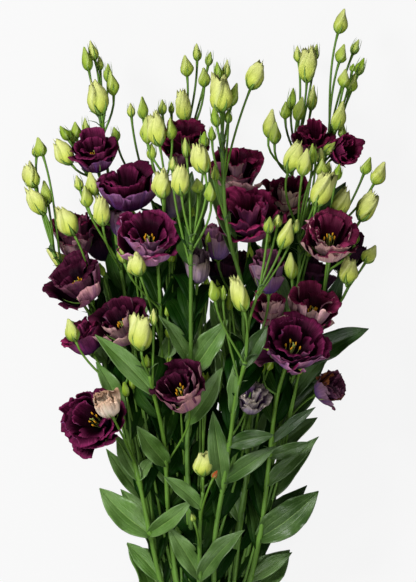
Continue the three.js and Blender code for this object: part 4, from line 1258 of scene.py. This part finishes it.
class Finish:
    """A material in the making. Every node comes from one method."""

    def __init__(self, name):
        self.material = bpy.data.materials.new(name)
        self.material.use_nodes = True
        self.tree = self.material.node_tree
        self.tree.nodes.clear()

    def node(self, kind, settings=None, sockets=None, out=0):
        made = self.tree.nodes.new(kind)
        for name, value in (settings or {}).items():
            if name == "stops":
                ramp = made.color_ramp
                while len(ramp.elements) < len(value):
                    ramp.elements.new(1.0)
                for element, (place, colour) in zip(ramp.elements, value):
                    element.position, element.color = place, colour
            else:
                setattr(made, name, value)
        for key, value in (sockets or {}).items():
            socket = self.found(made.inputs, key)
            if isinstance(value, Value):
                self.tree.links.new(value.socket, socket)
            else:
                socket.default_value = value
        return Value(self, self.found(made.outputs, out))

    @staticmethod
    def found(sockets, key):
        if isinstance(key, int):
            return sockets[key]
        return next(s for s in sockets if s.identifier == key or (s.name == key and s.enabled))

    def read(self, *names):
        """The numbers that a piece carries under these names."""
        settings = ({"attribute_type": "GEOMETRY", "attribute_name": name} for name in names)
        return [self.node("ShaderNodeAttribute", each, out="Fac") for each in settings]

    def place(self):
        return self.node("ShaderNodeTexCoord", out="Object")

    def vector(self, x, y, z):
        return self.node("ShaderNodeCombineXYZ", {}, {0: x, 1: y, 2: z})

    def noise(self, where, scale, detail=2.0, roughness=0.55):
        return self.node(
            "ShaderNodeTexNoise", {"noise_dimensions": "3D"},
            {"Vector": where, "Scale": scale, "Detail": detail, "Roughness": roughness}, out="Fac",
        )

    def step(self, value, low, high, start=0.0, end=1.0):
        """Start below low, end above high, and a smooth change between."""
        return self.node(
            "ShaderNodeMapRange", {"interpolation_type": "SMOOTHSTEP"},
            {"Value": value, "From Min": low, "From Max": high, "To Min": start, "To Max": end},
        )

    def line(self, value, low, high):
        """One along a line where the value is nought, fading on both sides."""
        return 1 - self.step(abs(value), low, high)

    def mix(self, first, second, factor, blend="MIX"):
        return self.node(
            "ShaderNodeMix", {"data_type": "RGBA", "blend_type": blend},
            {"Factor_Float": factor, "A_Color": first, "B_Color": second}, out="Result_Color",
        )

    def shade(self, colour, value):
        """A colour made darker or lighter by a number."""
        grey = self.node("ShaderNodeCombineColor", {}, {0: value, 1: value, 2: value})
        return self.mix(colour, grey, 1.0, "MULTIPLY")

    def ramp(self, value, places, colours):
        stops = list(zip(places, colours))
        return self.node("ShaderNodeValToRGB", {"stops": stops}, {"Fac": value}, out="Color")

    def bump(self, height, strength, distance):
        return self.node("ShaderNodeBump", {}, {"Height": height, "Strength": strength, "Distance": distance})

    def end(self, colour, roughness, normal=None, **constants):
        """Ends the material in one Principled shader. The constants stand on its own sockets."""
        sockets = {"Base Color": colour, "Roughness": roughness}
        if normal:
            sockets["Normal"] = normal
        sockets.update({name.replace("_", " "): value for name, value in constants.items()})
        shader = self.node("ShaderNodeBsdfPrincipled", {}, sockets)
        self.tree.links.new(shader.socket, self.tree.nodes.new("ShaderNodeOutputMaterial").inputs["Surface"])
        return self.material


def stem_finish(colours):
    """Smooth round stems: yellower towards the heads and darker there with painted shade, with fine streaks
    along them.
    """
    finish = Finish("stem green")
    along, tone = finish.read("along", "tone")
    place = finish.place()
    drawn_out = finish.node("ShaderNodeMapping", {}, {"Vector": place, "Scale": (1, 0.06, 1)})
    streaks = finish.noise(drawn_out, 900)
    patches = finish.noise(place, 45)
    # Towards the heads: the yellower green of young stems, and painted shade that makes them darker
    age_and_shade = finish.step(along + 0.25 * (tone - 0.5), 0.1, 0.85)
    green = finish.mix(colours.stem_old, colours.stem_young_shaded, age_and_shade)
    shaded = finish.shade(green, 0.64 + 0.3 * streaks + 0.3 * (patches - 0.5) + 0.36 * tone)
    cut = finish.mix(tint("#b9c58c"), shaded, finish.step(along, 0.0002, 0.0012))
    return finish.end(cut, 0.42 + 0.16 * patches, finish.bump(streaks, 0.25, 0.0006), Specular_IOR_Level=0.3)


def leaf_finish(colours, name, gloss):
    """Grey-green blades with a pale midrib, side veins that run with the edge, and a waxy bloom.

    Their tone paints light and shade: a low tone mixes in the shaded green and fades the ribs, and only
    leaves painted as lit get the wax with painted sheen, the pale back and the pale edge.
    """
    finish = Finish(name)
    along, across, inner, tone = finish.read(*Piece.READ)
    share = abs(across)
    rib = finish.line(share, 0.015, 0.075)
    veins = finish.line(share - 0.46 * (1 - 0.35 * along), 0.01, 0.05)
    outer = finish.line(share - 0.76 * (1 - 0.3 * along), 0.01, 0.04)
    edge = finish.step(share, 0.93, 1.0)
    net = finish.noise(finish.vector(across * 3.0, along * 7.0 - 3.4 * share, tone * 9.0), 4.5, 3)
    patches = finish.noise(finish.place(), 28, 3)
    # Painted light and shade: the tone, with patches, mixes the shaded green into the lit one
    lit = finish.step(tone + 0.5 * (patches - 0.5), 0.1, 0.95)
    green = finish.mix(colours.leaf_shaded, colours.leaf_face, lit)
    # Only leaves painted as lit get the wax with painted sheen, the pale back and the pale edge
    in_painted_light = finish.step(tone, 0.2, 0.7)
    wax_and_sheen = finish.step(patches + 0.35 * net, 0.45, 1.0, 0.0, 0.42) * in_painted_light
    waxy = finish.mix(green, colours.leaf_wax_and_sheen, wax_and_sheen)
    back = finish.mix(waxy, tint("#7f9f72"), 0.45 * in_painted_light)
    face = finish.mix(back, waxy, finish.step(inner, 0.3, 0.7))
    shaded = finish.shade(face, 0.7 + 0.6 * net)
    lines = rib * (1.1 - 0.6 * along) + 0.24 * veins + 0.12 * outer
    lined = finish.mix(shaded, colours.leaf_rib, lines * finish.step(tone, 0.1, 0.8, 0.03, 0.75))
    edged = finish.mix(lined, tint("#8fa878"), 0.3 * edge * in_painted_light)
    relief = 0.35 * net - 1.0 * rib - 0.35 * veins - 0.2 * outer
    return finish.end(edged, 0.32 + 0.16 * net, finish.bump(relief, 0.7, 0.001), Specular_IOR_Level=gloss)


def bud_finish(colours):
    """Wrapped petals of a bud: leaf green low down and when young, pale lime to cream when ripe.

    A painted shade darkens the crease where each petal tucks under the next, and a painted highlight lightens
    the lapped edge.
    """
    finish = Finish("bud lime")
    along, fold, tone = finish.read("along", "across", "tone")
    streaks = finish.noise(finish.vector(fold * 6.0, along * 1.4, tone * 12.0), 5, 3)
    patches = finish.noise(finish.place(), 120)
    upper = finish.step(along + 0.3 * (streaks - 0.5), 0.25, 0.9)
    ripe = finish.mix(colours.bud_ripe, colours.bud_pale, upper)
    whole = finish.mix(colours.bud_young, ripe, finish.step(tone, 0.25, 0.75))
    # A tone of -1 is a rusty bud
    whole = finish.mix(tint("#a8481c"), whole, finish.step(tone, -0.9, -0.1))
    height = finish.step(along + 0.25 * (streaks - 0.5) + 0.4 * (abs(tone) - 0.7), 0.0, 0.4)
    based = finish.mix(colours.bud_base, whole, height)
    # Painted shade: a darker green in the crease where each petal tucks under the next
    crease_shade = finish.mix(based, lighter(colours.bud_base, 0.8), 0.4 * (1 - finish.step(fold, 0.0, 0.16)))
    # Painted highlight: a paler band along each petal's lapped edge
    lit = finish.mix(crease_shade, tint("#e6edb0"), 0.3 * finish.step(fold, 0.75, 0.98))
    shaded = finish.shade(lit, 0.76 + 0.5 * streaks)
    relief = finish.bump(0.25 * streaks + patches, 0.8, 0.0012)
    return finish.end(shaded, 0.5, relief, Specular_IOR_Level=0.22)


def sepal_finish(colours):
    """Narrow green sepals with paler keels."""
    finish = Finish("sepal green")
    along, across, tone = finish.read("along", "across", "tone")
    patches = finish.noise(finish.place(), 90)
    lit = finish.step(tone + 0.4 * (patches - 0.5), 0.1, 0.9)
    green = finish.mix(colours.sepal_deep, colours.sepal_face, lit)
    keel = finish.mix(green, tint("#a9c774"), 0.4 * finish.line(across, 0.05, 0.6))
    tipped = finish.mix(keel, tint("#6d7a35"), 0.5 * finish.step(along, 0.7, 0.95))
    return finish.end(tipped, 0.5, finish.bump(patches, 0.2, 0.0005), Specular_IOR_Level=0.4)


# The colours of petals: inside at the throat, in the middle and at the rim, then outside at the seat, in the
# middle and at the rim, then the outside of darker petals at the seat and above. The near-black throats of
# the dark sets paint shade in the depth of the cups over their own dark colour, and the paler rims are partly
# painted highlight. The darker outsides are the own colour of darker blooms and painted shade on petals that
# face away from the eye. The deep set is a darkened plum that paints shade on the blooms under the bunch.
PETAL_COLOURS = {
    "plum": "#030001 #240114 #88285a #7a4eac #b87ab8 #d092b4 #341c5c #54244e",
    "rose": "#030001 #34031a #96305a #9c62a4 #e6a8c2 #f2c8ba #5c2a5c #863e64",
    "wine": "#020001 #180110 #5c1c3c #8a5090 #c080a0 #d49c9c #5c2a5c #863e64",
    "tan": "#030001 #2c0216 #8c2450 #7c4e84 #aa7090 #c8a09a #4c2448 #6c3452",
    "beige": "#030001 #2c0216 #8c2450 #8c5c84 #cc9e9e #dcc0a8 #5c3450 #84505c",
    "umber": "#020001 #180110 #641e40 #7c4e84 #aa7090 #c8a09a #4c2448 #6c3452",
    # A darkened plum: painted shade on the blooms that lie under the bunch
    "deep": "#030002 #180210 #3c0c28 #3a264a #4c2c44 #5a2c44 #241838 #341c34",
    "mauve": "#1c0718 #4a1a38 #8a4c68 #6a5296 #957498 #a88488 #4a3280 #6e4468",
    "lilac": "#2c1834 #644474 #ccbcb4 #9478b4 #cfb6d8 #ece2c8 #745c98 #a890bc",
    "dusk": "#2c1420 #4e3444 #7e606e #6c5a80 #927c94 #a89484 #5a4a70 #7a6474",
    "cream": "#c09c70 #ecd4ba #d8ac8c #e2daae #f4e8d8 #e0bca0 #dccda4 #ead8c2",
    "crimson": "#030001 #3c031d #a22e62 #6a2c78 #a04c86 #b8648c #42185a #742858",
    "rust": "#4a1c14 #8a4a2c #a8643c #7a4a3a #9c5c3a #a86a40 #6a3a2c #8a5034",
}
EVENLY_VEINED = ("cream", "lilac")


def petal_finish(name, colours):
    """Velvety petals: the inside and the outside each have their own colour, with veins that fan out."""
    finish = Finish("petal " + name)
    throat, middle, rim, seat, outside, border, dark_and_shaded_seat, dark_and_shaded_outside = map(tint, colours.split())
    along, across, inner, tone = finish.read(*Piece.READ)
    place = finish.place()
    fan = finish.noise(finish.vector(across * 11.0, along * 1.1, tone * 23.0), 2.2, 4, 0.65)
    clouds, fine = finish.noise(place, 55, 3), finish.noise(place, 600)
    reach = along + 0.28 * (fan - 0.5) + 0.3 * (clouds - 0.5)
    # The inside runs from a near-black throat, painted shade in the depth of the cup over its own dark
    # colour, to a lighter rim that is partly painted highlight
    inside = (throat, middle, lighter(rim, 0.4), lighter(rim, 0.86))
    face = finish.ramp(reach, (0.22, 0.68, 0.88, 1.0), inside)
    pale = finish.ramp(reach, (0.06, 0.2, 0.6, 0.95), (tint("#8f9a5e"), seat, outside, border))
    shadowed = (tint("#6d7a48"), dark_and_shaded_seat, dark_and_shaded_outside, lighter(outside, 0.6))
    dark_and_shaded_back = finish.ramp(reach, (0.06, 0.2, 0.7, 0.98), shadowed)
    # Petals with a low tone get the darker outside: painted shade on petals that face away from the eye, and
    # the own colour of darker blooms
    back = finish.mix(dark_and_shaded_back, pale, finish.step(tone + 0.5 * (clouds - 0.5), 0.1, 0.75))
    warm = finish.mix(back, border, finish.step(clouds + 0.6 * (tone - 0.5), 0.45, 0.8, 0, 0.6))
    keel = finish.mix(warm, lighter(seat, 0.7), 0.45 * finish.line(across, 0.02, 0.12))
    both = finish.mix(keel, face, finish.step(inner, 0.3, 0.7))
    contrast = 0.7 if name in EVENLY_VEINED else 1.3
    veined = finish.shade(both, 0.95 - 0.5 * contrast + contrast * fan + 0.35 * (tone - 0.5))
    # A thin brighter line along the rim: painted highlight on the petal edges
    edged = finish.mix(veined, rim, finish.step(along, 0.955, 1.0, 0, 0.2))
    relief = 0.8 * fan + 0.25 * fine + 0.6 * clouds
    return finish.end(edged, 0.4 + 0.2 * fan, finish.bump(relief, 0.7, 0.0014), Specular_IOR_Level=0.06)


def anther_finish(colours):
    """Grainy yellow pollen."""
    finish = Finish("anther yellow")
    grains = finish.noise(finish.place(), 2500)
    pollen = finish.mix(lighter(colours.anther, 0.55), colours.anther, finish.step(grains, 0.3, 0.6))
    return finish.end(pollen, 0.8, finish.bump(grains, 0.6, 0.0004))


def pistil_finish():
    """Pale green filaments and pistil."""
    finish = Finish("pistil green")
    [along] = finish.read("along")
    soft = finish.noise(finish.place(), 300)
    green = finish.mix(tint("#4a1f3c"), tint("#9aa64a"), finish.step(along + 0.2 * soft, 0.1, 0.9))
    return finish.end(green, 0.5, finish.bump(soft, 0.2, 0.0003))


def band_finish(colours):
    """Plain tan rubber, dusty in its pores and worn pale at its edges."""
    finish = Finish("tan rubber")
    [across] = finish.read("across")
    place = finish.place()
    pores, worn = finish.noise(place, 1400, 3), finish.noise(place, 60, 3)
    dusty = finish.step(worn + 0.3 * pores, 0.4, 0.95, 0, 0.6)
    tan = finish.mix(colours.band, lighter(colours.band, 1.5), dusty)
    edged = finish.mix(tan, lighter(colours.band, 1.7), 0.4 * finish.step(abs(across), 0.86, 1.0))
    return finish.end(edged, 0.62 + 0.2 * pores, finish.bump(pores, 0.25, 0.0003))


WHITE = (1.0, 1.0, 1.0, 1.0)


def floor_finish(colours, glow):
    """Matt white studio paper."""
    finish = Finish("white paper")
    paper = finish.shade(colours.floor, 0.985 + 0.03 * finish.noise(finish.place(), 500))
    return finish.end(paper, 0.9, Specular_IOR_Level=0.1, Emission_Strength=glow, Emission_Color=WHITE)


# The stage

# Half the side of the paper, in metres
HALF_FLOOR = 6.0
# The power that a lamp takes from the settings, where it hangs and how wide it is, in metres
LAMPS = {
    "key": ((-1.5, 1.2, 1.9), 0.8), "side": ((1.7, 0.9, 1.2), 1.0), "top": ((0.2, 0.2, 2.8), 1.2),
    "fill": ((-0.5, -1.3, 2.0), 1.0),
}
LIT_POINT = Vector((0.0, 0.38, 0.1))
SENSOR = 36.0


def add_stage(stage, finish):
    """White paper, a camera that looks straight down on the bunch, and soft lamps."""
    corners = [(HALF_FLOOR * x, HALF_FLOOR * y, 0) for x, y in ((-1, -1), (1, -1), (1, 1), (-1, 1))]
    mesh = bpy.data.meshes.new("floor")
    mesh.from_pydata(corners, [], [(0, 1, 2, 3)])
    mesh.materials.append(finish)
    floor = linked("floor", mesh)
    floor.visible_diffuse = floor.visible_glossy = False

    camera = bpy.data.cameras.new("camera")
    camera.sensor_width = SENSOR
    camera.lens = SENSOR * stage.distance / stage.frame_height
    camera.clip_end = 100
    seen = linked("camera", camera)
    seen.location = (stage.centre_x, stage.centre_y, stage.level + stage.distance)
    bpy.context.scene.camera = seen

    for name, (place, size) in LAMPS.items():
        lamp = bpy.data.lights.new(name + " light", "AREA")
        lamp.shape, lamp.size, lamp.energy = "DISK", size, getattr(stage, name)
        lit = linked(name + " light", lamp)
        lit.location = place
        lit.rotation_euler = (LIT_POINT - Vector(place)).to_track_quat("-Z", "Y").to_euler()

    world = bpy.data.worlds.new("studio")
    world.use_nodes = True
    air = world.node_tree.nodes["Background"]
    air.inputs["Color"].default_value = WHITE
    air.inputs["Strength"].default_value = stage.air
    bpy.context.scene.world = world
    bpy.context.scene.view_settings.view_transform = "Standard"


# Settings

def length(name, default, description):
    return bpy.props.FloatProperty(
        name=name, default=default, description=description, unit="LENGTH", subtype="DISTANCE", precision=4)


def number(name, default, description):
    return bpy.props.FloatProperty(name=name, default=default, description=description, min=0.0)


def colour(name, code, description):
    return bpy.props.FloatVectorProperty(
        name=name, default=tint(code), description=description, subtype="COLOR", size=4, min=0.0, max=1.0)


def group(kind, name, description):
    return bpy.props.PointerProperty(type=kind, name=name, description=description)


class StemSizes(bpy.types.PropertyGroup):
    foot: length("Foot radius", 0.003, "Radius of a stem at its cut end")
    head: length("Head radius", 0.0018, "Radius of a stem where it forks")
    shoot: length("Shoot radius", 0.0015, "Radius of a side shoot")
    stalk: length("Stalk radius", 0.00115, "Radius of a flower stalk")
    seat: length("Seat radius", 0.0026, "Radius of the seat that carries a bloom")


class LeafSizes(bpy.types.PropertyGroup):
    thickness: length("Thickness", 0.0005, "Thickness of a leaf blade")


class PetalSizes(bpy.types.PropertyGroup):
    thickness: length("Thickness", 0.0004, "Thickness of a petal")
    notch: number("Notch", 0.065, "How deep the rim dips between two petals, as a share of the petal")
    overlap: number(
        "Overlap", 0.035, "How far one petal lies outside the next, as a share of the rim's radius")
    ruffle: number("Ruffle", 1.0, "How strongly the rims are ruffled")


class BunchColours(bpy.types.PropertyGroup):
    stem_old: colour("Old stem", "#6a9442", "Stems near the tie")
    # Yellower than the old stem, and darker with painted shade near the heads
    stem_young_shaded: colour("Young stem", "#5f862c", "Stems near the heads")
    # A darker green that paints shade on leaves
    leaf_shaded: colour("Deep leaf", "#0c2c04", "Leaves in the shade of the bunch")
    leaf_face: colour("Leaf face", "#567f30", "Leaves in the light")
    # Waxy bloom, with painted sheen on the leaves that are painted as lit
    leaf_wax_and_sheen: colour("Leaf wax", "#9ab67a", "Waxy bloom on the leaves")
    leaf_rib: colour("Leaf rib", "#8fb35e", "Midrib and side veins")
    bud_young: colour("Young bud", "#8cae2c", "Small closed buds")
    bud_base: colour("Bud base", "#86a42e", "Low part of a bud")
    bud_ripe: colour("Ripe bud", "#c4d056", "Middle of a large bud")
    bud_pale: colour("Bud tip", "#d8dc88", "Tip of a large bud")
    sepal_deep: colour("Deep sepal", "#4a741f", "Sepals in the shade")
    sepal_face: colour("Sepal face", "#7a9f3a", "Sepals in the light")
    anther: colour("Anther", "#e8a400", "Pollen")
    band: colour("Band", "#8a6a45", "Tie")
    floor: colour("Paper", "#444444", "Paper under the bunch")


class StageSizes(bpy.types.PropertyGroup):
    distance: length("Camera distance", 6.0, "From the camera to the middle level of the bunch")
    frame_height: length("Frame height", 0.582, "Height of what the camera sees at that level")
    level: length("Level", 0.12, "Height of the bunch's middle level over the paper")
    centre_x: length("Centre X", 0.002, "Middle of the view across the bunch")
    centre_y: length("Centre Y", 0.401, "Middle of the view along the bunch")
    key: number("Key light", 56.0, "Power of the large lamp beyond the flowers, on the left")
    side: number("Side light", 6.0, "Power of the lamp on the right")
    top: number("Top light", 13.0, "Power of the wide lamp overhead")
    fill: number("Fill light", 16.0, "Power of the lamp by the tie")
    air: number("Air light", 0.022, "Strength of the light from all round")
    glow: number("Paper glow", 0.88, "Strength of the light from under the paper")


class BunchSettings(bpy.types.PropertyGroup):
    stem: group(StemSizes, "Stems", "Sizes of stems and stalks")
    leaf: group(LeafSizes, "Leaves", "Sizes of leaves")
    petal: group(PetalSizes, "Petals", "Sizes of petals")
    colours: group(BunchColours, "Colours", "Colours of every finish")
    stage: group(StageSizes, "Stage", "Camera and light")


# Steps

class BUNCH_OT_leafy_stems(bpy.types.Operator):
    """Grow the leafy stems with their buds, in place of the plain stems"""

    bl_idname = "bunch.leafy_stems"
    bl_label = "Leafy stems"

    def execute(self, context):
        settings = context.scene.bunch
        colours = settings.colours
        # The shaded leaf green, with little gloss, paints shade on the deep leaves
        finishes = [
            stem_finish(colours), leaf_finish(colours, "leaf green", 0.5), bud_finish(colours),
            sepal_finish(colours), leaf_finish(colours, "shaded leaf green", 0.08),
        ]
        shapes = {"blade": pattern("blade", blade_shape)}
        for name, sizes in BUDS.items():
            shapes[name] = pattern(name, bud_shape, *sizes)
        for name, sizes in CALYCES.items():
            shapes[name] = pattern(name, calyx_shape, *sizes)
        trees = {"tube": tube_tree(), "head": head_tree()}
        middles = [
            (vec(x, y, z) + 0.5 * depth * pointing(lean, rise), 0.5 * span)
            for row in STEMS.values()
            for x, y, z, lean, rise, span, depth, *_ in row.get("blooms", {}).values()
            if z > FRONT_LEVEL
        ]
        for i, (name, row) in enumerate(STEMS.items()):
            add_stem_piece(name, row, i, middles, settings, trees, shapes, finishes)
        for shape in shapes.values():
            bpy.data.objects.remove(shape)
        return {"FINISHED"}


class BUNCH_OT_blooms(bpy.types.Operator):
    """Open the ruffled blooms, in place of the plain cups"""

    bl_idname = "bunch.blooms"
    bl_label = "Blooms"

    def execute(self, context):
        settings = context.scene.bunch
        skins = {name: petal_finish(name, colours) for name, colours in PETAL_COLOURS.items()}
        centre = [anther_finish(settings.colours), pistil_finish()]
        trees = {"tube": tube_tree(), "head": head_tree()}
        shapes = {"bean": pattern("bean", bean_shape)}
        blooms = [entry for row in STEMS.values() for entry in row.get("blooms", {}).items()]
        for i, (name, entry) in enumerate(blooms):
            finishes = [skins[SHOWN[name][-1]], *centre]
            if name in FOURTH_COLOURS:
                finishes.append(skins[FOURTH_COLOURS[name]])
            add_bloom_piece(name, entry, i, settings, trees, shapes, finishes)
        bpy.data.objects.remove(shapes["bean"])
        return {"FINISHED"}


class BUNCH_OT_tie(bpy.types.Operator):
    """Put the elastic band round the stems"""

    bl_idname = "bunch.tie"
    bl_label = "Tie"

    def execute(self, context):
        add_tie(band_finish(context.scene.bunch.colours))
        return {"FINISHED"}


class BUNCH_OT_stage(bpy.types.Operator):
    """Lay the paper and set the camera and the lamps"""

    bl_idname = "bunch.stage"
    bl_label = "Stage"

    def execute(self, context):
        settings = context.scene.bunch
        add_stage(settings.stage, floor_finish(settings.colours, settings.stage.glow))
        return {"FINISHED"}


STEPS = (BUNCH_OT_stage, BUNCH_OT_leafy_stems, BUNCH_OT_blooms, BUNCH_OT_tie)


class BUNCH_PT_panel(bpy.types.Panel):
    """Lists the settings and the steps of the bunch"""

    bl_idname = "BUNCH_PT_panel"
    bl_label = "Lisianthus bunch"
    bl_space_type = "VIEW_3D"
    bl_region_type = "UI"
    bl_category = "Bunch"

    def draw(self, context):
        settings = context.scene.bunch
        for sizes in (settings.stem, settings.leaf, settings.petal, settings.colours, settings.stage):
            column = self.layout.column(align=True)
            for name in sizes.bl_rna.properties.keys():
                if name not in ("rna_type", "name"):
                    column.prop(sizes, name)
        for step in STEPS:
            self.layout.operator(step.bl_idname)


CLASSES = (StemSizes, LeafSizes, PetalSizes, BunchColours, StageSizes, BunchSettings, *STEPS, BUNCH_PT_panel)


def register():
    for made in CLASSES:
        bpy.utils.register_class(made)
    bpy.types.Scene.bunch = bpy.props.PointerProperty(type=BunchSettings)


def unregister():
    del bpy.types.Scene.bunch
    for made in reversed(CLASSES):
        bpy.utils.unregister_class(made)


def main():
    register()
    bpy.ops.bunch.stage()
    bpy.ops.bunch.leafy_stems()
    bpy.ops.bunch.blooms()
    bpy.ops.bunch.tie()


if __name__ == "__main__":
    main()
